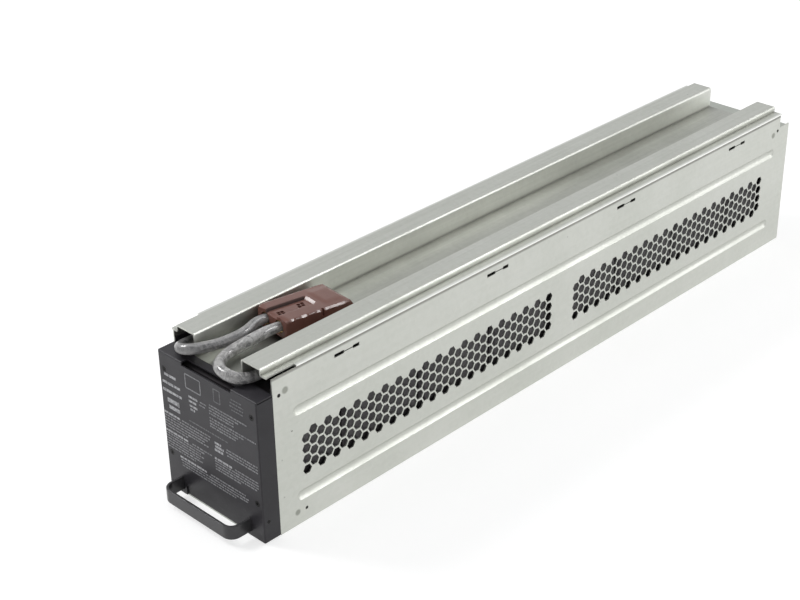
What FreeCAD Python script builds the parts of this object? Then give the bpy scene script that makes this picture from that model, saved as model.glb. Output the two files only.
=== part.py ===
"""UPS battery cartridge: a slim galvanised steel case that holds a row of eight sealed batteries.

The case stands on its base. X runs across it, Y runs from the handle to the rear, Z is up. The origin is under the
middle of the whole cartridge. All sizes are millimetres.
"""

import FreeCAD, Part
import math
import os
import re
import Sketcher
from FreeCAD import Placement, Rotation, Vector

# Driving dimensions

SIZES = [
    ("case_width", 97, "outside, over the two side panels"),
    ("case_length", 585, "side panel, front edge to rear edge"),
    ("panel_height", 119.4, "side panel, floor to the top of its turned-in edge"),
    ("panel_sheet", 1.0, "thickness of the side panels"),
    ("panel_bend", 1.4, "outside radius of the panel's top bend"),
    ("panel_lip", 7.0, "width of the turned-in top edge"),
    ("front_relief", 21, "length at the front with no turned-in edge"),
    ("relief_drop", 0.4, "how much lower the panel is there"),
    ("notch_length", 14, "notch in the panel's rear top corner"),
    ("notch_level", 108.5, "height of that notch's floor"),
    ("bead_radius", 5.0, "radius of the long pressed grooves"),
    ("bead_depth", 1.8, "depth of the long pressed grooves"),
    ("bead_high", 87.6, "height of the upper groove"),
    ("bead_low", 21.8, "height of the lower groove"),
    ("bead_start", 20, "centre of both grooves' front ends, from the front edge"),
    ("bead_end_gap", 23.5, "centre of both grooves' rear ends, from the rear edge"),
    ("hole_flats", 6.6, "hexagonal vent hole across its flats"),
    ("column_pitch", 6.6, "vent holes, column to column"),
    ("row_pitch", 8.1, "vent holes, row to row in a column"),
    ("vents_low", 39.4, "centre of the lowest vent hole"),
    ("vents_front", 25.9, "first column of the front group"),
    ("vents_rear", 302, "first column of the rear group"),
    ("lance_first", 53.5, "first lanced slot, from the front edge"),
    ("lance_pitch", 147.4, "lanced slots, one to the next"),
    ("lance_level", 112.6, "height of the lanced slots"),
    ("base_sheet", 1.2, "thickness of the base plate"),
    ("base_wall", 12, "height of the base plate's side walls"),
    ("end_sheet", 1.0, "thickness of the front and rear end plates"),
    ("end_flange", 13, "length of the end plates' side flanges, short of the grooves"),
    ("weld_tab", 25, "length of the flanges' weld tabs, past the grooves' ends"),
    ("weld_tab_low", 14, "top of the lower weld tabs"),
    ("weld_tab_high", 96, "underside of the upper weld tabs"),
    ("weld_gap", 2, "room between the weld tabs and the base plate's walls"),
    ("rear_top_inset", 2, "how much narrower the rear plate's top flange is, on each side"),
    ("rear_flange_drop", 3, "how far the rear plate's side flanges end under the trough"),
    ("front_plate_top", 112, "top of the front end plate's upper weld tabs"),
    ("front_web_top", 104, "top of the front end plate between its flanges"),
    ("cover_sheet", 1.2, "thickness of the folded cover"),
    ("cover_bend", 1.5, "outside radius of the cover's bends"),
    ("cover_front", 2.4, "how far the cover stands out in front of the panels"),
    ("cover_back", 13, "how far the cover ends short of the panels' rear edge"),
    ("ledge_width", 7.2, "cover ledge on the panel's turned-in edge"),
    ("rail_rise", 4.3, "rail top above the ledge"),
    ("rail_width", 18.5, "rail, outside"),
    ("trough_depth", 16.9, "trough floor below the rail tops"),
    ("ledge_relief", 2.4, "how much narrower the ledge is over the front relief"),
    ("bezel_depth", 13.8, "bezel, in front of the side panels"),
    ("bezel_sheet", 1.0, "thickness of the bezel"),
    ("bezel_bottom", 0.6, "lower edge of the bezel above the floor"),
    ("bezel_top", 108.2, "top flange of the bezel"),
    ("bezel_side_top", 106.5, "top of the bezel's side flanges"),
    ("slot_width", 49, "slot at the bezel's top bend"),
    ("slot_back", 5.2, "how far the slot runs back"),
    ("slot_drop", 2.6, "how far the slot runs down the face"),
    ("toe_width", 62, "notch in the bezel's lower edge, between the handle's legs"),
    ("toe_top", 9.3, "top of that notch"),
    ("toe_corner", 3, "radius of the notch's corners"),
    ("screw_spread", 86.6, "face screws, side to side"),
    ("screw_low", 30, "height of the lower face screws"),
    ("screw_high", 95.6, "height of the upper face screws"),
    ("screw_head", 4.6, "diameter of the screws' countersunk heads"),
    ("screw_shank", 2.6, "diameter of the screws' shanks"),
    ("cross_length", 2.2, "length of the cross in a screw's head"),
    ("cross_width", 0.5, "width of the cross"),
    ("cross_depth", 0.4, "depth of the cross"),
    ("side_screw_back", 4.3, "side screws, from the bezel's face"),
    ("side_screw_level", 16, "height of the side screws"),
    ("handle_width", 71, "handle, outside"),
    ("handle_reach", 17.4, "handle, in front of the bezel's face"),
    ("handle_strip", 2.2, "thickness of the handle's strip"),
    ("handle_bottom", 4.2, "underside of the handle above the floor"),
    ("handle_tall", 10.2, "height of the handle's strip"),
    ("handle_corner", 7.8, "outside radius of the handle's corners"),
    ("handle_round", 0.5, "rounding of the handle's edges"),
    ("foot_length", 9, "handle feet, turned out behind the front end plate"),
    ("rivet_shank", 3, "diameter of the handle's rivets"),
    ("rivet_head", 5.4, "diameter of their heads"),
    ("rivet_head_tall", 0.5, "height of their heads"),
    ("play", 0.1, "clearance round pins, tabs and legs, on each side"),
    ("battery_count", 8, "sealed batteries in the row"),
    ("battery_width", 90, "battery, across the case"),
    ("battery_length", 70, "battery, along the case"),
    ("battery_tall", 101, "battery, without its tabs"),
    ("battery_lid", 8, "height of the battery's lid"),
    ("battery_step", 0.3, "how far the lid stands out over the case"),
    ("battery_round", 2.5, "rounding of the battery's upright edges"),
    ("battery_gap", 3.6, "foam between two batteries"),
    ("pad_width", 89, "foam pads between the batteries, across the case"),
    ("pad_low", 12, "lower edge of the pads above the batteries' undersides"),
    ("pad_tall", 84, "height of the pads"),
    ("front_foam", 3, "foam between the front end plate and the first battery"),
    ("liner_sheet", 1.0, "insulating liner under the batteries"),
    ("liner_inset", 1, "how much narrower the liner is, on each side"),
    ("well_depth", 3, "depth of the wells round the tabs"),
    ("well_margin", 3, "room in a well on each side of its tab"),
    ("tab_offset", 33, "battery tabs, from the middle"),
    ("tab_inset", 9, "battery tabs, from the battery's edge"),
    ("tab_width", 6.3, "width of a tab"),
    ("tab_sheet", 0.8, "thickness of a tab"),
    ("tab_tall", 8, "height of a tab above its well's floor"),
    ("lug_width", 8.4, "link lug, across the case"),
    ("lug_length", 5, "link lug, along the case"),
    ("lug_top", 111.6, "top of the link lugs"),
    ("lug_lift", 0.3, "underside of the link lugs above the batteries"),
    ("link_cable", 4.6, "diameter of the link cables"),
    ("strap_sheet", 1.6, "thickness of the cross strap"),
    ("strap_room", 8, "hold-down foam ends this far from the strap's middle"),
    ("foam_width", 36, "hold-down foam under the trough"),
    ("foam_start", 2, "hold-down foam starts behind the panels' front edge"),
    ("lead_diameter", 7.4, "sleeved lead"),
    ("lead_level", 112, "height of the leads where they leave the rails"),
    ("lead_high", 117.6, "height of the long lead inside its rail"),
    ("lead_exit", 4.8, "where the free leads start, behind the side panels' front edge"),
    ("plug_length", 56, "power connector, length"),
    ("plug_width", 32.5, "power connector, width"),
    ("plug_tall", 14.5, "power connector, height"),
    ("plug_start", 49, "wire end of the connector, behind the side panels' front edge"),
    ("plug_side", -4.7, "wire end of the connector, from the middle"),
    ("plug_turn", 4.9, "connector's turn to the right, degrees"),
    ("plug_dip", 4, "how far the connector dips towards its open end, degrees"),
    ("pole_spread", 15, "distance between the connector's two poles"),
    ("pole_bore", 9.2, "bore of each wire entry"),
    ("pole_depth", 20, "depth of the wire entries"),
    ("mouth_width", 12, "contact mouth, width"),
    ("mouth_tall", 9, "contact mouth, height"),
    ("mouth_depth", 22, "contact mouth, depth"),
    ("plug_recess", 1.2, "depth of the recess on the connector's top"),
    ("plug_round", 1.6, "rounding of the connector's edges"),
    ("contact_sheet", 2, "thickness of the contact blades"),
    ("contact_width", 8, "width of the contact blades"),
    ("contact_inset", 5, "contact blades end this far inside the open end"),
]

doc = FreeCAD.newDocument("BatteryCartridge")
sheet = doc.addObject("Spreadsheet::Sheet", "Sizes")
for row, (alias, value, meaning) in enumerate(SIZES, start=1):
    sheet.set(f"A{row}", alias)
    sheet.set(f"B{row}", str(value))
    sheet.set(f"C{row}", meaning)
    sheet.setAlias(f"B{row}", alias)
doc.recompute()

reader = doc.addObject("Spreadsheet::Sheet", "Reader")
ALIASES = {row[0] for row in SIZES}
NODES = {}

# Places that more than one piece uses, as formulas of the sizes. Y places count from the side panels' front edge.

FRONT = "(bezel_depth + handle_reach - case_length) / 2"
HALF = "(case_width / 2)"
INNER = "(case_width / 2 - panel_sheet)"
FACE = "(-bezel_depth)"
FACE_BACK = "(bezel_sheet - bezel_depth)"
WEB_BACK = "(bezel_sheet - bezel_depth + end_sheet)"
LEDGE_TOP = "(panel_height + cover_sheet)"
RAIL_TOP = "(panel_height + cover_sheet + rail_rise)"
TROUGH_TOP = "(panel_height + cover_sheet + rail_rise - trough_depth)"
TROUGH_UNDER = "(panel_height + rail_rise - trough_depth)"
RAIL_OUT = "(case_width / 2 - ledge_width)"
RAIL_IN = "(case_width / 2 - ledge_width - rail_width)"
BATTERY_FLOOR = "(base_sheet + liner_sheet)"
BATTERY_TOP = "(base_sheet + liner_sheet + battery_tall)"
BATTERY_FRONT = "(bezel_sheet - bezel_depth + end_sheet + front_foam)"
BATTERY_PITCH = "(battery_length + battery_gap)"
WELL_FLOOR = "(base_sheet + liner_sheet + battery_tall - well_depth)"


def formula(text):
    """Name the sheet in front of each size, as the document's expressions want it."""
    return re.sub(r"[a-z_]\w*", lambda m: "Sizes." + m.group() if m.group() in ALIASES else m.group(), text)


def size(text):
    """The present value of a formula of the sizes, worked out in a cell of a second sheet."""
    reader.set("A1", "=" + formula(text))
    reader.recompute()
    return float(reader.get("A1"))


def place(obj, x, y, z):
    """Bind an object's place. Y counts from the side panels' front edge."""
    obj.setExpression("Placement.Base.x", formula(x))
    obj.setExpression("Placement.Base.y", formula(f"{FRONT} + {y}"))
    obj.setExpression("Placement.Base.z", formula(z))
    return obj


def box(name, length, width, height, x, y, z):
    """A block whose low corner is at x, y, z."""
    block = doc.addObject("Part::Box", name)
    block.setExpression("Length", formula(length))
    block.setExpression("Width", formula(width))
    block.setExpression("Height", formula(height))
    return place(block, x, y, z)


def side_box(name, side, outer, width, length, height, y, z):
    """A block on one side of the case: it reaches in from the distance outer by its width."""
    x = f"{outer} - ({width})" if side > 0 else f"-({outer})"
    return box(name, width, length, height, x, y, z)


AXES = {"x": Rotation(Vector(0, 1, 0), 90), "y": Rotation(Vector(1, 0, 0), -90), "z": Rotation()}


def rod(name, diameter, length, axis, x, y, z):
    """A round bar that starts at x, y, z and runs along the positive axis."""
    bar = doc.addObject("Part::Cylinder", name)
    bar.setExpression("Radius", formula(f"({diameter}) / 2"))
    bar.setExpression("Height", formula(length))
    bar.Placement = Placement(Vector(), AXES[axis])
    return place(bar, x, y, z)


def join(name, pieces):
    """One solid out of several that touch."""
    whole = doc.addObject("Part::MultiFuse", name)
    whole.Shapes = pieces
    whole.Refine = True
    return whole


def cut(name, body, tools):
    """Take the tools away from the body."""
    tool = tools[0] if len(tools) == 1 else join(name + "_tools", tools)
    rest = doc.addObject("Part::Cut", name)
    rest.Base = body
    rest.Tool = tool
    return rest


def rounded(name, body, radius, wanted):
    """Round the edges for which wanted is true."""
    doc.recompute()
    soft = doc.addObject("Part::Fillet", name)
    soft.Base = body
    reach = size(radius)
    soft.Edges = [(i, reach, reach) for i, edge in enumerate(body.Shape.Edges, start=1) if wanted(edge)]
    return soft


def group(name, pieces):
    """Several separate solids that are handled as one."""
    together = doc.addObject("Part::Compound", name)
    together.Links = pieces
    return together


def node(name, obj):
    """Name a finished sub-part."""
    obj.Label = name
    NODES[name] = obj
    return obj


def feature(name, shape, x=0):
    """A sub-part whose shape is worked out here, moved to its place along the case."""
    made = doc.addObject("Part::Feature", name)
    made.Shape = shape
    made.Placement = Placement(Vector(x, size(FRONT), 0), Rotation())
    return node(name, made)


def near(value, goal):
    return abs(value - goal) < 0.01


def runs_along(edge, axis):
    """True for a straight edge along X, Y or Z (0, 1 or 2)."""
    first, last = edge.Vertexes[0].Point, edge.Vertexes[-1].Point
    return edge.Length > 0.5 and near(abs(last[axis] - first[axis]), edge.Length)


# Side panels: galvanised sheet with two pressed grooves, hexagonal vents, lanced slots and a turned-in top edge

VENT_COLUMNS = 38
VENT_ROWS = 4
LANCES = 4
LANCE_LONG = 8.6
LANCE_SHORT = 5.8
LANCE_SLIT = 8.0
LANCE_TALL = 2.4
SLIT_TALL = 0.7
ROUND_HOLES = [(5.2, 105.3, 2.8), (23.5, 9.8, 2.4), (14.3, 74.5, 1.0)]
REAR_HOLE = (16.8, 106.3, 2.8)


def polygon(points):
    """A closed wire in the YZ plane."""
    corners = [Vector(0, y, z) for y, z in points]
    return Part.makePolygon(corners + corners[:1])


def hexagon(y, z):
    reach = size("hole_flats") / math.sqrt(3)
    return polygon([(y + reach * math.cos(math.radians(a)), z + reach * math.sin(math.radians(a)))
                    for a in range(0, 360, 60)])


def vent_group(start):
    """Columns of hexagons, every other column half a pitch higher."""
    column, row, low = size("column_pitch"), size("row_pitch"), size("vents_low")
    return [hexagon(start + i * column, low + (j + 0.5 * (i % 2)) * row)
            for i in range(VENT_COLUMNS) for j in range(VENT_ROWS)]


def lance(start):
    """A long and a short slot with a thin slit between them."""
    z = size("lance_level")
    far = start + LANCE_LONG + LANCE_SLIT
    tall, slit = LANCE_TALL / 2, SLIT_TALL / 2
    return polygon([
        (start, z - tall), (start + LANCE_LONG, z - tall), (start + LANCE_LONG, z - slit), (far, z - slit),
        (far, z - tall), (far + LANCE_SHORT, z - tall), (far + LANCE_SHORT, z + tall), (far, z + tall),
        (far, z + slit), (start + LANCE_LONG, z + slit), (start + LANCE_LONG, z + tall), (start, z + tall),
    ])


def round_hole(y, z, diameter):
    return Part.Wire(Part.makeCircle(diameter / 2, Vector(0, y, z), Vector(1, 0, 0)))


def groove_tool(radius, z):
    """A bar with round ends that lies along the outside of the panel."""
    middle = size("bead_depth") - size("bead_radius")
    start, stop = size("bead_start"), size("case_length - bead_end_gap")
    bar = Part.makeCylinder(radius, stop - start, Vector(-middle, start, z), Vector(0, 1, 0))
    ends = [Part.makeSphere(radius, Vector(-middle, y, z)) for y in (start, stop)]
    return bar.fuse(ends)


def side_panel():
    """The right panel with its outer face at X = 0 and its inside towards negative X."""
    t, length, top = size("panel_sheet"), size("case_length"), size("panel_height")
    back, notch = length - size("notch_length"), size("notch_level")
    relief, low = size("front_relief"), size("panel_height - relief_drop")
    outline = polygon([(0, 0), (length, 0), (length, notch), (back, notch), (back, top),
                       (relief, top), (relief, low), (0, low)])
    holes = vent_group(size("vents_front")) + vent_group(size("vents_rear"))
    holes += [lance(size("lance_first") + i * size("lance_pitch")) for i in range(LANCES)]
    holes += [round_hole(y, z, diameter) for y, z, diameter in ROUND_HOLES]
    holes.append(round_hole(length - REAR_HOLE[0], REAR_HOLE[1], REAR_HOLE[2]))
    face = Part.Face([outline] + holes)
    face.validate()
    web = face.extrude(Vector(-t, 0, 0))
    lip = Part.makeBox(size("panel_lip"), back - relief, t, Vector(-size("panel_lip"), relief, top - t))
    slab = Part.makeBox(2 * t + size("bead_depth"), length, top, Vector(-2 * t - size("bead_depth"), 0, 0))
    levels = [size("bead_high"), size("bead_low")]
    backs = [groove_tool(size("bead_radius") + t, z).common(slab) for z in levels]
    fronts = [groove_tool(size("bead_radius"), z) for z in levels]
    panel = web.fuse([lip] + backs).cut(fronts).removeSplitter()
    bend = [e for e in panel.Edges if runs_along(e, 1) and e.Length > length / 2
            and near(e.BoundBox.XMin, 0) and near(e.BoundBox.ZMin, top)]
    return panel.makeFillet(size("panel_bend"), bend)


panel_shape = side_panel()
feature("right_side_panel", panel_shape.Solids[0], size(HALF))
feature("left_side_panel", panel_shape.mirror(Vector(), Vector(1, 0, 0)).Solids[0], -size(HALF))

# Base plate: folded sheet that carries the batteries, spot-welded between the panels

base_blocks = [box("base_floor", f"2 * {INNER}", f"case_length - {FACE_BACK}", "base_sheet",
                   f"-{INNER}", FACE_BACK, "0")]
for side in (-1, 1):
    base_blocks.append(side_box("base_wall", side, INNER, "base_sheet", "case_length - 2 * (weld_tab + weld_gap)",
                                "base_wall", "weld_tab + weld_gap", "0"))
node("base_plate", join("base_join", base_blocks))

# Front end plate: upright sheet behind the bezel, with side flanges welded to the panels


def screw_drill(name, x, y, z, axis):
    return rod(name, "screw_shank + 2 * play", "6 * bezel_sheet + 2 * end_sheet", axis, x, y, z)


def face_drills(name):
    """Bores for the four face screws."""
    return [screw_drill(name, f"{side} * screw_spread / 2", f"{FACE} - 2 * bezel_sheet", level, "y")
            for side in (-1, 1) for level in ("screw_low", "screw_high")]


def side_drills(name):
    """Bores for the screw in each side flange."""
    return [screw_drill(name, f"{side} * {HALF} - 4 * bezel_sheet", f"{FACE} + side_screw_back",
                        "side_screw_level", "x")
            for side in (-1, 1)]


RIVET_X = "(handle_width / 2 + foot_length / 2)"
RIVET_Z = "(handle_bottom + handle_tall / 2)"


def leg_slots(name):
    """Slots that the handle's legs pass through."""
    return [side_box(name, side, "(handle_width / 2 + play)", "handle_strip + 2 * play",
                     "3 * (bezel_sheet + end_sheet)", "handle_tall + 2 * play", f"{FACE} - bezel_sheet - end_sheet",
                     "handle_bottom - play") for side in (-1, 1)]


def rivet_drills(name):
    """Bores for the two rivets that hold the handle's feet."""
    return [rod(name, "rivet_shank + 2 * play", "end_sheet + handle_strip", "y", f"{side} * {RIVET_X}", FACE_BACK,
                RIVET_Z) for side in (-1, 1)]


front_blocks = [box("front_web", f"2 * {INNER}", "end_sheet", "front_web_top - base_sheet",
                    f"-{INNER}", FACE_BACK, "base_sheet")]
for side in (-1, 1):
    front_blocks += [
        side_box("front_flange", side, INNER, "end_sheet", f"end_flange - {FACE_BACK}",
                 "bezel_side_top - base_sheet", FACE_BACK, "base_sheet"),
        side_box("front_low_tab", side, INNER, "end_sheet", "weld_tab", "weld_tab_low - base_sheet", "0",
                 "base_sheet"),
        side_box("front_high_tab", side, INNER, "end_sheet", "weld_tab", "front_plate_top - weld_tab_high", "0",
                 "weld_tab_high"),
    ]
front_tools = face_drills("front_face_drill") + side_drills("front_side_drill")
front_tools += leg_slots("front_leg_slot") + rivet_drills("front_rivet_drill")
node("front_end_plate", cut("front_cut", join("front_join", front_blocks), front_tools))

# Rear end plate: upright sheet with side flanges and a top flange under the cover

rear_blocks = [box("rear_web", f"2 * {INNER}", "end_sheet", f"{TROUGH_UNDER} - base_sheet - end_sheet",
                   f"-{INNER}", "case_length - end_sheet", "base_sheet")]
rear_blocks.append(box("rear_top", f"2 * ({INNER} - rear_top_inset)", "weld_tab", "end_sheet",
                       f"rear_top_inset - {INNER}", "case_length - weld_tab", f"{TROUGH_UNDER} - end_sheet"))
for side in (-1, 1):
    rear_blocks += [
        side_box("rear_flange", side, INNER, "end_sheet", "end_flange",
                 f"{TROUGH_UNDER} - rear_flange_drop - base_sheet", "case_length - end_flange", "base_sheet"),
        side_box("rear_low_tab", side, INNER, "end_sheet", "weld_tab", "weld_tab_low - base_sheet",
                 "case_length - weld_tab", "base_sheet"),
        side_box("rear_high_tab", side, INNER, "end_sheet", "weld_tab",
                 f"{TROUGH_UNDER} - rear_flange_drop - weld_tab_high", "case_length - weld_tab", "weld_tab_high"),
    ]
node("rear_end_plate", join("rear_join", rear_blocks))

# Cover: one folded sheet with a ledge on each panel, two hollow rails and a trough between them

COVER_LENGTH = "case_length - cover_back + cover_front"
COVER_START = "(-cover_front)"
cover_blocks = [box("cover_floor", f"2 * {RAIL_IN}", COVER_LENGTH, "cover_sheet",
                    f"-{RAIL_IN}", COVER_START, TROUGH_UNDER)]
for side in (-1, 1):
    cover_blocks += [
        side_box("cover_ledge", side, HALF, "ledge_width + cover_sheet", COVER_LENGTH, "cover_sheet",
                 COVER_START, "panel_height"),
        side_box("cover_outer", side, RAIL_OUT, "cover_sheet", COVER_LENGTH, "rail_rise + cover_sheet",
                 COVER_START, "panel_height"),
        side_box("cover_rail", side, RAIL_OUT, "rail_width", COVER_LENGTH, "cover_sheet",
                 COVER_START, f"{RAIL_TOP} - cover_sheet"),
        side_box("cover_inner", side, f"({RAIL_IN} + cover_sheet)", "cover_sheet", COVER_LENGTH,
                 "trough_depth + cover_sheet", COVER_START, TROUGH_UNDER),
    ]
cover_whole = join("cover_join", cover_blocks)


def cover_bends(edge):
    """The outside edge of each fold."""
    if not runs_along(edge, 1):
        return False
    x, z = abs(edge.BoundBox.XMin), edge.BoundBox.ZMin
    at_top = near(z, size(RAIL_TOP)) and (near(x, size(RAIL_OUT)) or near(x, size(RAIL_IN)))
    at_trough = near(z, size(TROUGH_UNDER)) and near(x, size(RAIL_IN) + size("cover_sheet"))
    at_ledge = near(z, size("panel_height")) and near(x, size(RAIL_OUT) - size("cover_sheet"))
    return at_top or at_trough or at_ledge


cover_soft = rounded("cover_bends", cover_whole, "cover_bend", cover_bends)
ledge_cuts = [side_box("ledge_cut", side, f"({HALF} + 1)", "ledge_relief + 1", "front_relief + cover_front + 1",
                       "2 * cover_sheet", "-cover_front - 1", "panel_height - 0.5 * cover_sheet")
              for side in (-1, 1)]
node("top_cover", cut("cover_cut", cover_soft, ledge_cuts))

# Bezel: black folded sheet over the front, with a slot at its top bend

bezel_blocks = [
    box("bezel_face", "case_width", "bezel_sheet", "bezel_top - bezel_bottom", f"-{HALF}", FACE, "bezel_bottom"),
    box("bezel_flange", "case_width", "bezel_depth", "bezel_sheet", f"-{HALF}", FACE, "bezel_top - bezel_sheet"),
]
for side in (-1, 1):
    bezel_blocks.append(side_box("bezel_side", side, HALF, "bezel_sheet", "bezel_depth",
                                 "bezel_side_top - bezel_bottom", FACE, "bezel_bottom"))
bezel_whole = join("bezel_join", bezel_blocks)


def bezel_bends(edge):
    """The upright corners up to the side flanges' tops, and the top bend."""
    at_front = near(edge.BoundBox.YMin, size(f"{FRONT} + {FACE}"))
    upright = runs_along(edge, 2) and near(abs(edge.BoundBox.XMin), size(HALF)) and edge.Length > 50
    top = runs_along(edge, 0) and near(edge.BoundBox.ZMin, size("bezel_top"))
    return at_front and (upright or top)


bezel_soft = rounded("bezel_bends", bezel_whole, "0.9 * bezel_sheet", bezel_bends)
bezel_tools = face_drills("bezel_face_drill") + side_drills("bezel_side_drill") + leg_slots("bezel_leg_slot")
bezel_tools.append(box("bezel_slot", "slot_width", "slot_back + bezel_sheet", "slot_drop + bezel_sheet",
                       "-slot_width / 2", f"{FACE} - bezel_sheet", "bezel_top - slot_drop"))
bezel_tools.append(box("bezel_relief", f"2 * ({RAIL_IN} + cover_sheet + play)", "2 * cover_front", "2 * bezel_sheet",
                       f"-({RAIL_IN} + cover_sheet + play)", "-cover_front - play", "bezel_top - 1.5 * bezel_sheet"))
toe = box("toe_block", "toe_width", "3 * bezel_sheet", "2 * toe_top", "-toe_width / 2", f"{FACE} - bezel_sheet",
          "-toe_top")
bezel_tools.append(rounded("bezel_toe", toe, "toe_corner", lambda edge: runs_along(edge, 1)))


def sinks(name, grow="0"):
    """Cones for the countersunk heads of the face screws."""
    cones = []
    for side in (-1, 1):
        for level in ("screw_low", "screw_high"):
            cone = doc.addObject("Part::Cone", name)
            cone.setExpression("Radius1", formula(f"(screw_head + {grow}) / 2"))
            cone.setExpression("Radius2", formula(f"(screw_shank + {grow}) / 2"))
            cone.setExpression("Height", formula("0.7 * bezel_sheet"))
            cone.Placement = Placement(Vector(), AXES["y"])
            cones.append(place(cone, f"{side} * screw_spread / 2", FACE, level))
    return cones


node("bezel", cut("bezel_cut", bezel_soft, bezel_tools + sinks("bezel_sink", "2 * play")))

# Screws: four countersunk in the face, one in each side flange

face_cones = sinks("screw_cone")
face_screws = []
for number, cone in enumerate(face_cones):
    side, level = ((-1, "screw_low"), (-1, "screw_high"), (1, "screw_low"), (1, "screw_high"))[number]
    shank = rod("screw_shank", "screw_shank", "bezel_sheet + end_sheet", "y",
                f"{side} * screw_spread / 2", FACE, level)
    cross = [box("cross", length, "2 * cross_depth", height, f"{side} * screw_spread / 2 - {length} / 2",
                 f"{FACE} - cross_depth", f"{level} - {height} / 2")
             for length, height in (("cross_length", "cross_width"), ("cross_width", "cross_length"))]
    face_screws.append(cut("face_screw", join("face_screw_join", [cone, shank]), cross))
node("face_screws", group("face_screw_group", face_screws))

side_screws = []
for side in (-1, 1):
    start = f"{HALF} - bezel_sheet - end_sheet" if side > 0 else f"-{HALF}"
    pin = rod("side_screw", "screw_shank", "bezel_sheet + end_sheet", "x", start,
              f"{FACE} + side_screw_back", "side_screw_level")
    side_screws.append(pin)
node("side_screws", group("side_screw_group", side_screws))

# Handle: a steel strip bent to a U; its legs pass through the front and end in riveted feet

pull = doc.addObject("PartDesign::Body", "PullBody")
ground = [o for o in pull.Origin.OriginFeatures if o.Role == "XY_Plane"][0]
plan = pull.newObject("Sketcher::SketchObject", "PullPlan")
plan.AttachmentSupport = (ground, "")
plan.MapMode = "FlatFace"
START, END, CENTRE = 1, 2, 3
PULL_DEPTH = "(handle_reach + bezel_sheet + end_sheet)"


def hold(sketch, kind, *where):
    return sketch.addConstraint(Sketcher.Constraint(kind, *where))


def hold_size(sketch, text, kind, *where):
    """A dimension that follows a formula of the sizes."""
    number = sketch.addConstraint(Sketcher.Constraint(kind, *where, size(text)))
    sketch.setExpression(f"Constraints[{number}]", formula(text))


def add_u(sketch, half, reach, corner):
    """One side of the strip: two legs, a bar and the two round corners between them, held by its sizes."""
    w, d, r = size(half), size(reach), size(corner)
    quarter = math.radians(90)
    left_arc = Part.ArcOfCircle(Part.Circle(Vector(r - w, r - d, 0), Vector(0, 0, 1), r), 2 * quarter, 3 * quarter)
    right_arc = Part.ArcOfCircle(Part.Circle(Vector(w - r, r - d, 0), Vector(0, 0, 1), r), 3 * quarter, 4 * quarter)
    drawn = [Part.LineSegment(Vector(-w, 0, 0), Vector(-w, r - d, 0)), left_arc,
             Part.LineSegment(Vector(r - w, -d, 0), Vector(w - r, -d, 0)), right_arc,
             Part.LineSegment(Vector(w, r - d, 0), Vector(w, 0, 0))]
    left, arc_left, bar, arc_right, right = [sketch.addGeometry(piece, False) for piece in drawn]
    for first, second in ((left, arc_left), (arc_left, bar), (bar, arc_right), (arc_right, right)):
        hold(sketch, "Tangent", first, END, second, START)
    hold(sketch, "Horizontal", bar)
    hold(sketch, "Vertical", left)
    hold(sketch, "Equal", arc_left, arc_right)
    hold(sketch, "PointOnObject", left, START, -1)
    hold(sketch, "Symmetric", left, START, right, END, -1, START)
    hold_size(sketch, corner, "Radius", arc_left)
    hold_size(sketch, f"2 * ({half})", "DistanceX", left, START, right, END)
    hold_size(sketch, reach, "DistanceY", bar, START, left, START)
    return left, right


outer_left, outer_right = add_u(plan, "handle_width / 2", PULL_DEPTH, "handle_corner")
inner_left, inner_right = add_u(plan, "handle_width / 2 - handle_strip", f"{PULL_DEPTH} - handle_strip",
                                "handle_corner - handle_strip")
for outer_leg, inner_leg, end in ((outer_left, inner_left, START), (outer_right, inner_right, END)):
    corners = [leg.StartPoint if end == START else leg.EndPoint
               for leg in (plan.Geometry[outer_leg], plan.Geometry[inner_leg])]
    closing = plan.addGeometry(Part.LineSegment(*corners), False)
    hold(plan, "Coincident", closing, START, outer_leg, end)
    hold(plan, "Coincident", closing, END, inner_leg, end)
strip = pull.newObject("PartDesign::Pad", "PullPad")
strip.Profile = plan
strip.setExpression("Length", formula("handle_tall"))
doc.recompute()
soft_strip = pull.newObject("PartDesign::Fillet", "PullFillet")
soft_strip.Base = (strip, [f"Edge{i}" for i, e in enumerate(strip.Shape.Edges, start=1)
                           if near(e.BoundBox.ZLength, 0) and e.BoundBox.YMin < -0.01])
soft_strip.setExpression("Radius", formula("handle_round"))
place(pull, "0", WEB_BACK, "handle_bottom")
feet = [side_box("handle_foot", side, "(handle_width / 2 + foot_length)", "foot_length + handle_strip",
                 "handle_strip", "handle_tall", WEB_BACK, "handle_bottom") for side in (-1, 1)]
node("handle", cut("handle_cut", join("handle_join", [pull] + feet), rivet_drills("handle_rivet_drill")))

rivets = []
for side in (-1, 1):
    shank = rod("rivet_shank", "rivet_shank", "end_sheet + handle_strip", "y", f"{side} * {RIVET_X}", FACE_BACK,
                RIVET_Z)
    head = rod("rivet_head", "rivet_head", "rivet_head_tall", "y", f"{side} * {RIVET_X}",
               f"{WEB_BACK} + handle_strip", RIVET_Z)
    rivets.append(join("rivet_join", [shank, head]))
node("handle_rivets", group("rivet_group", rivets))

# Batteries: sealed blocks with a stepped lid and a well round each tab, and the foam that packs them

COUNT = int(size("battery_count"))


def battery_start(number):
    """Where a battery begins. The first one is number 0."""
    return f"({BATTERY_FRONT} + {number} * {BATTERY_PITCH})"


def tabs_at_rear(number):
    """Each battery is turned so that its tabs face those it is linked to."""
    return number in (0, 2, 5)


def tab_place(number):
    """Middle of a battery's tabs along the case."""
    start = battery_start(number)
    return f"({start} + battery_length - tab_inset)" if tabs_at_rear(number) else f"({start} + tab_inset)"


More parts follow.
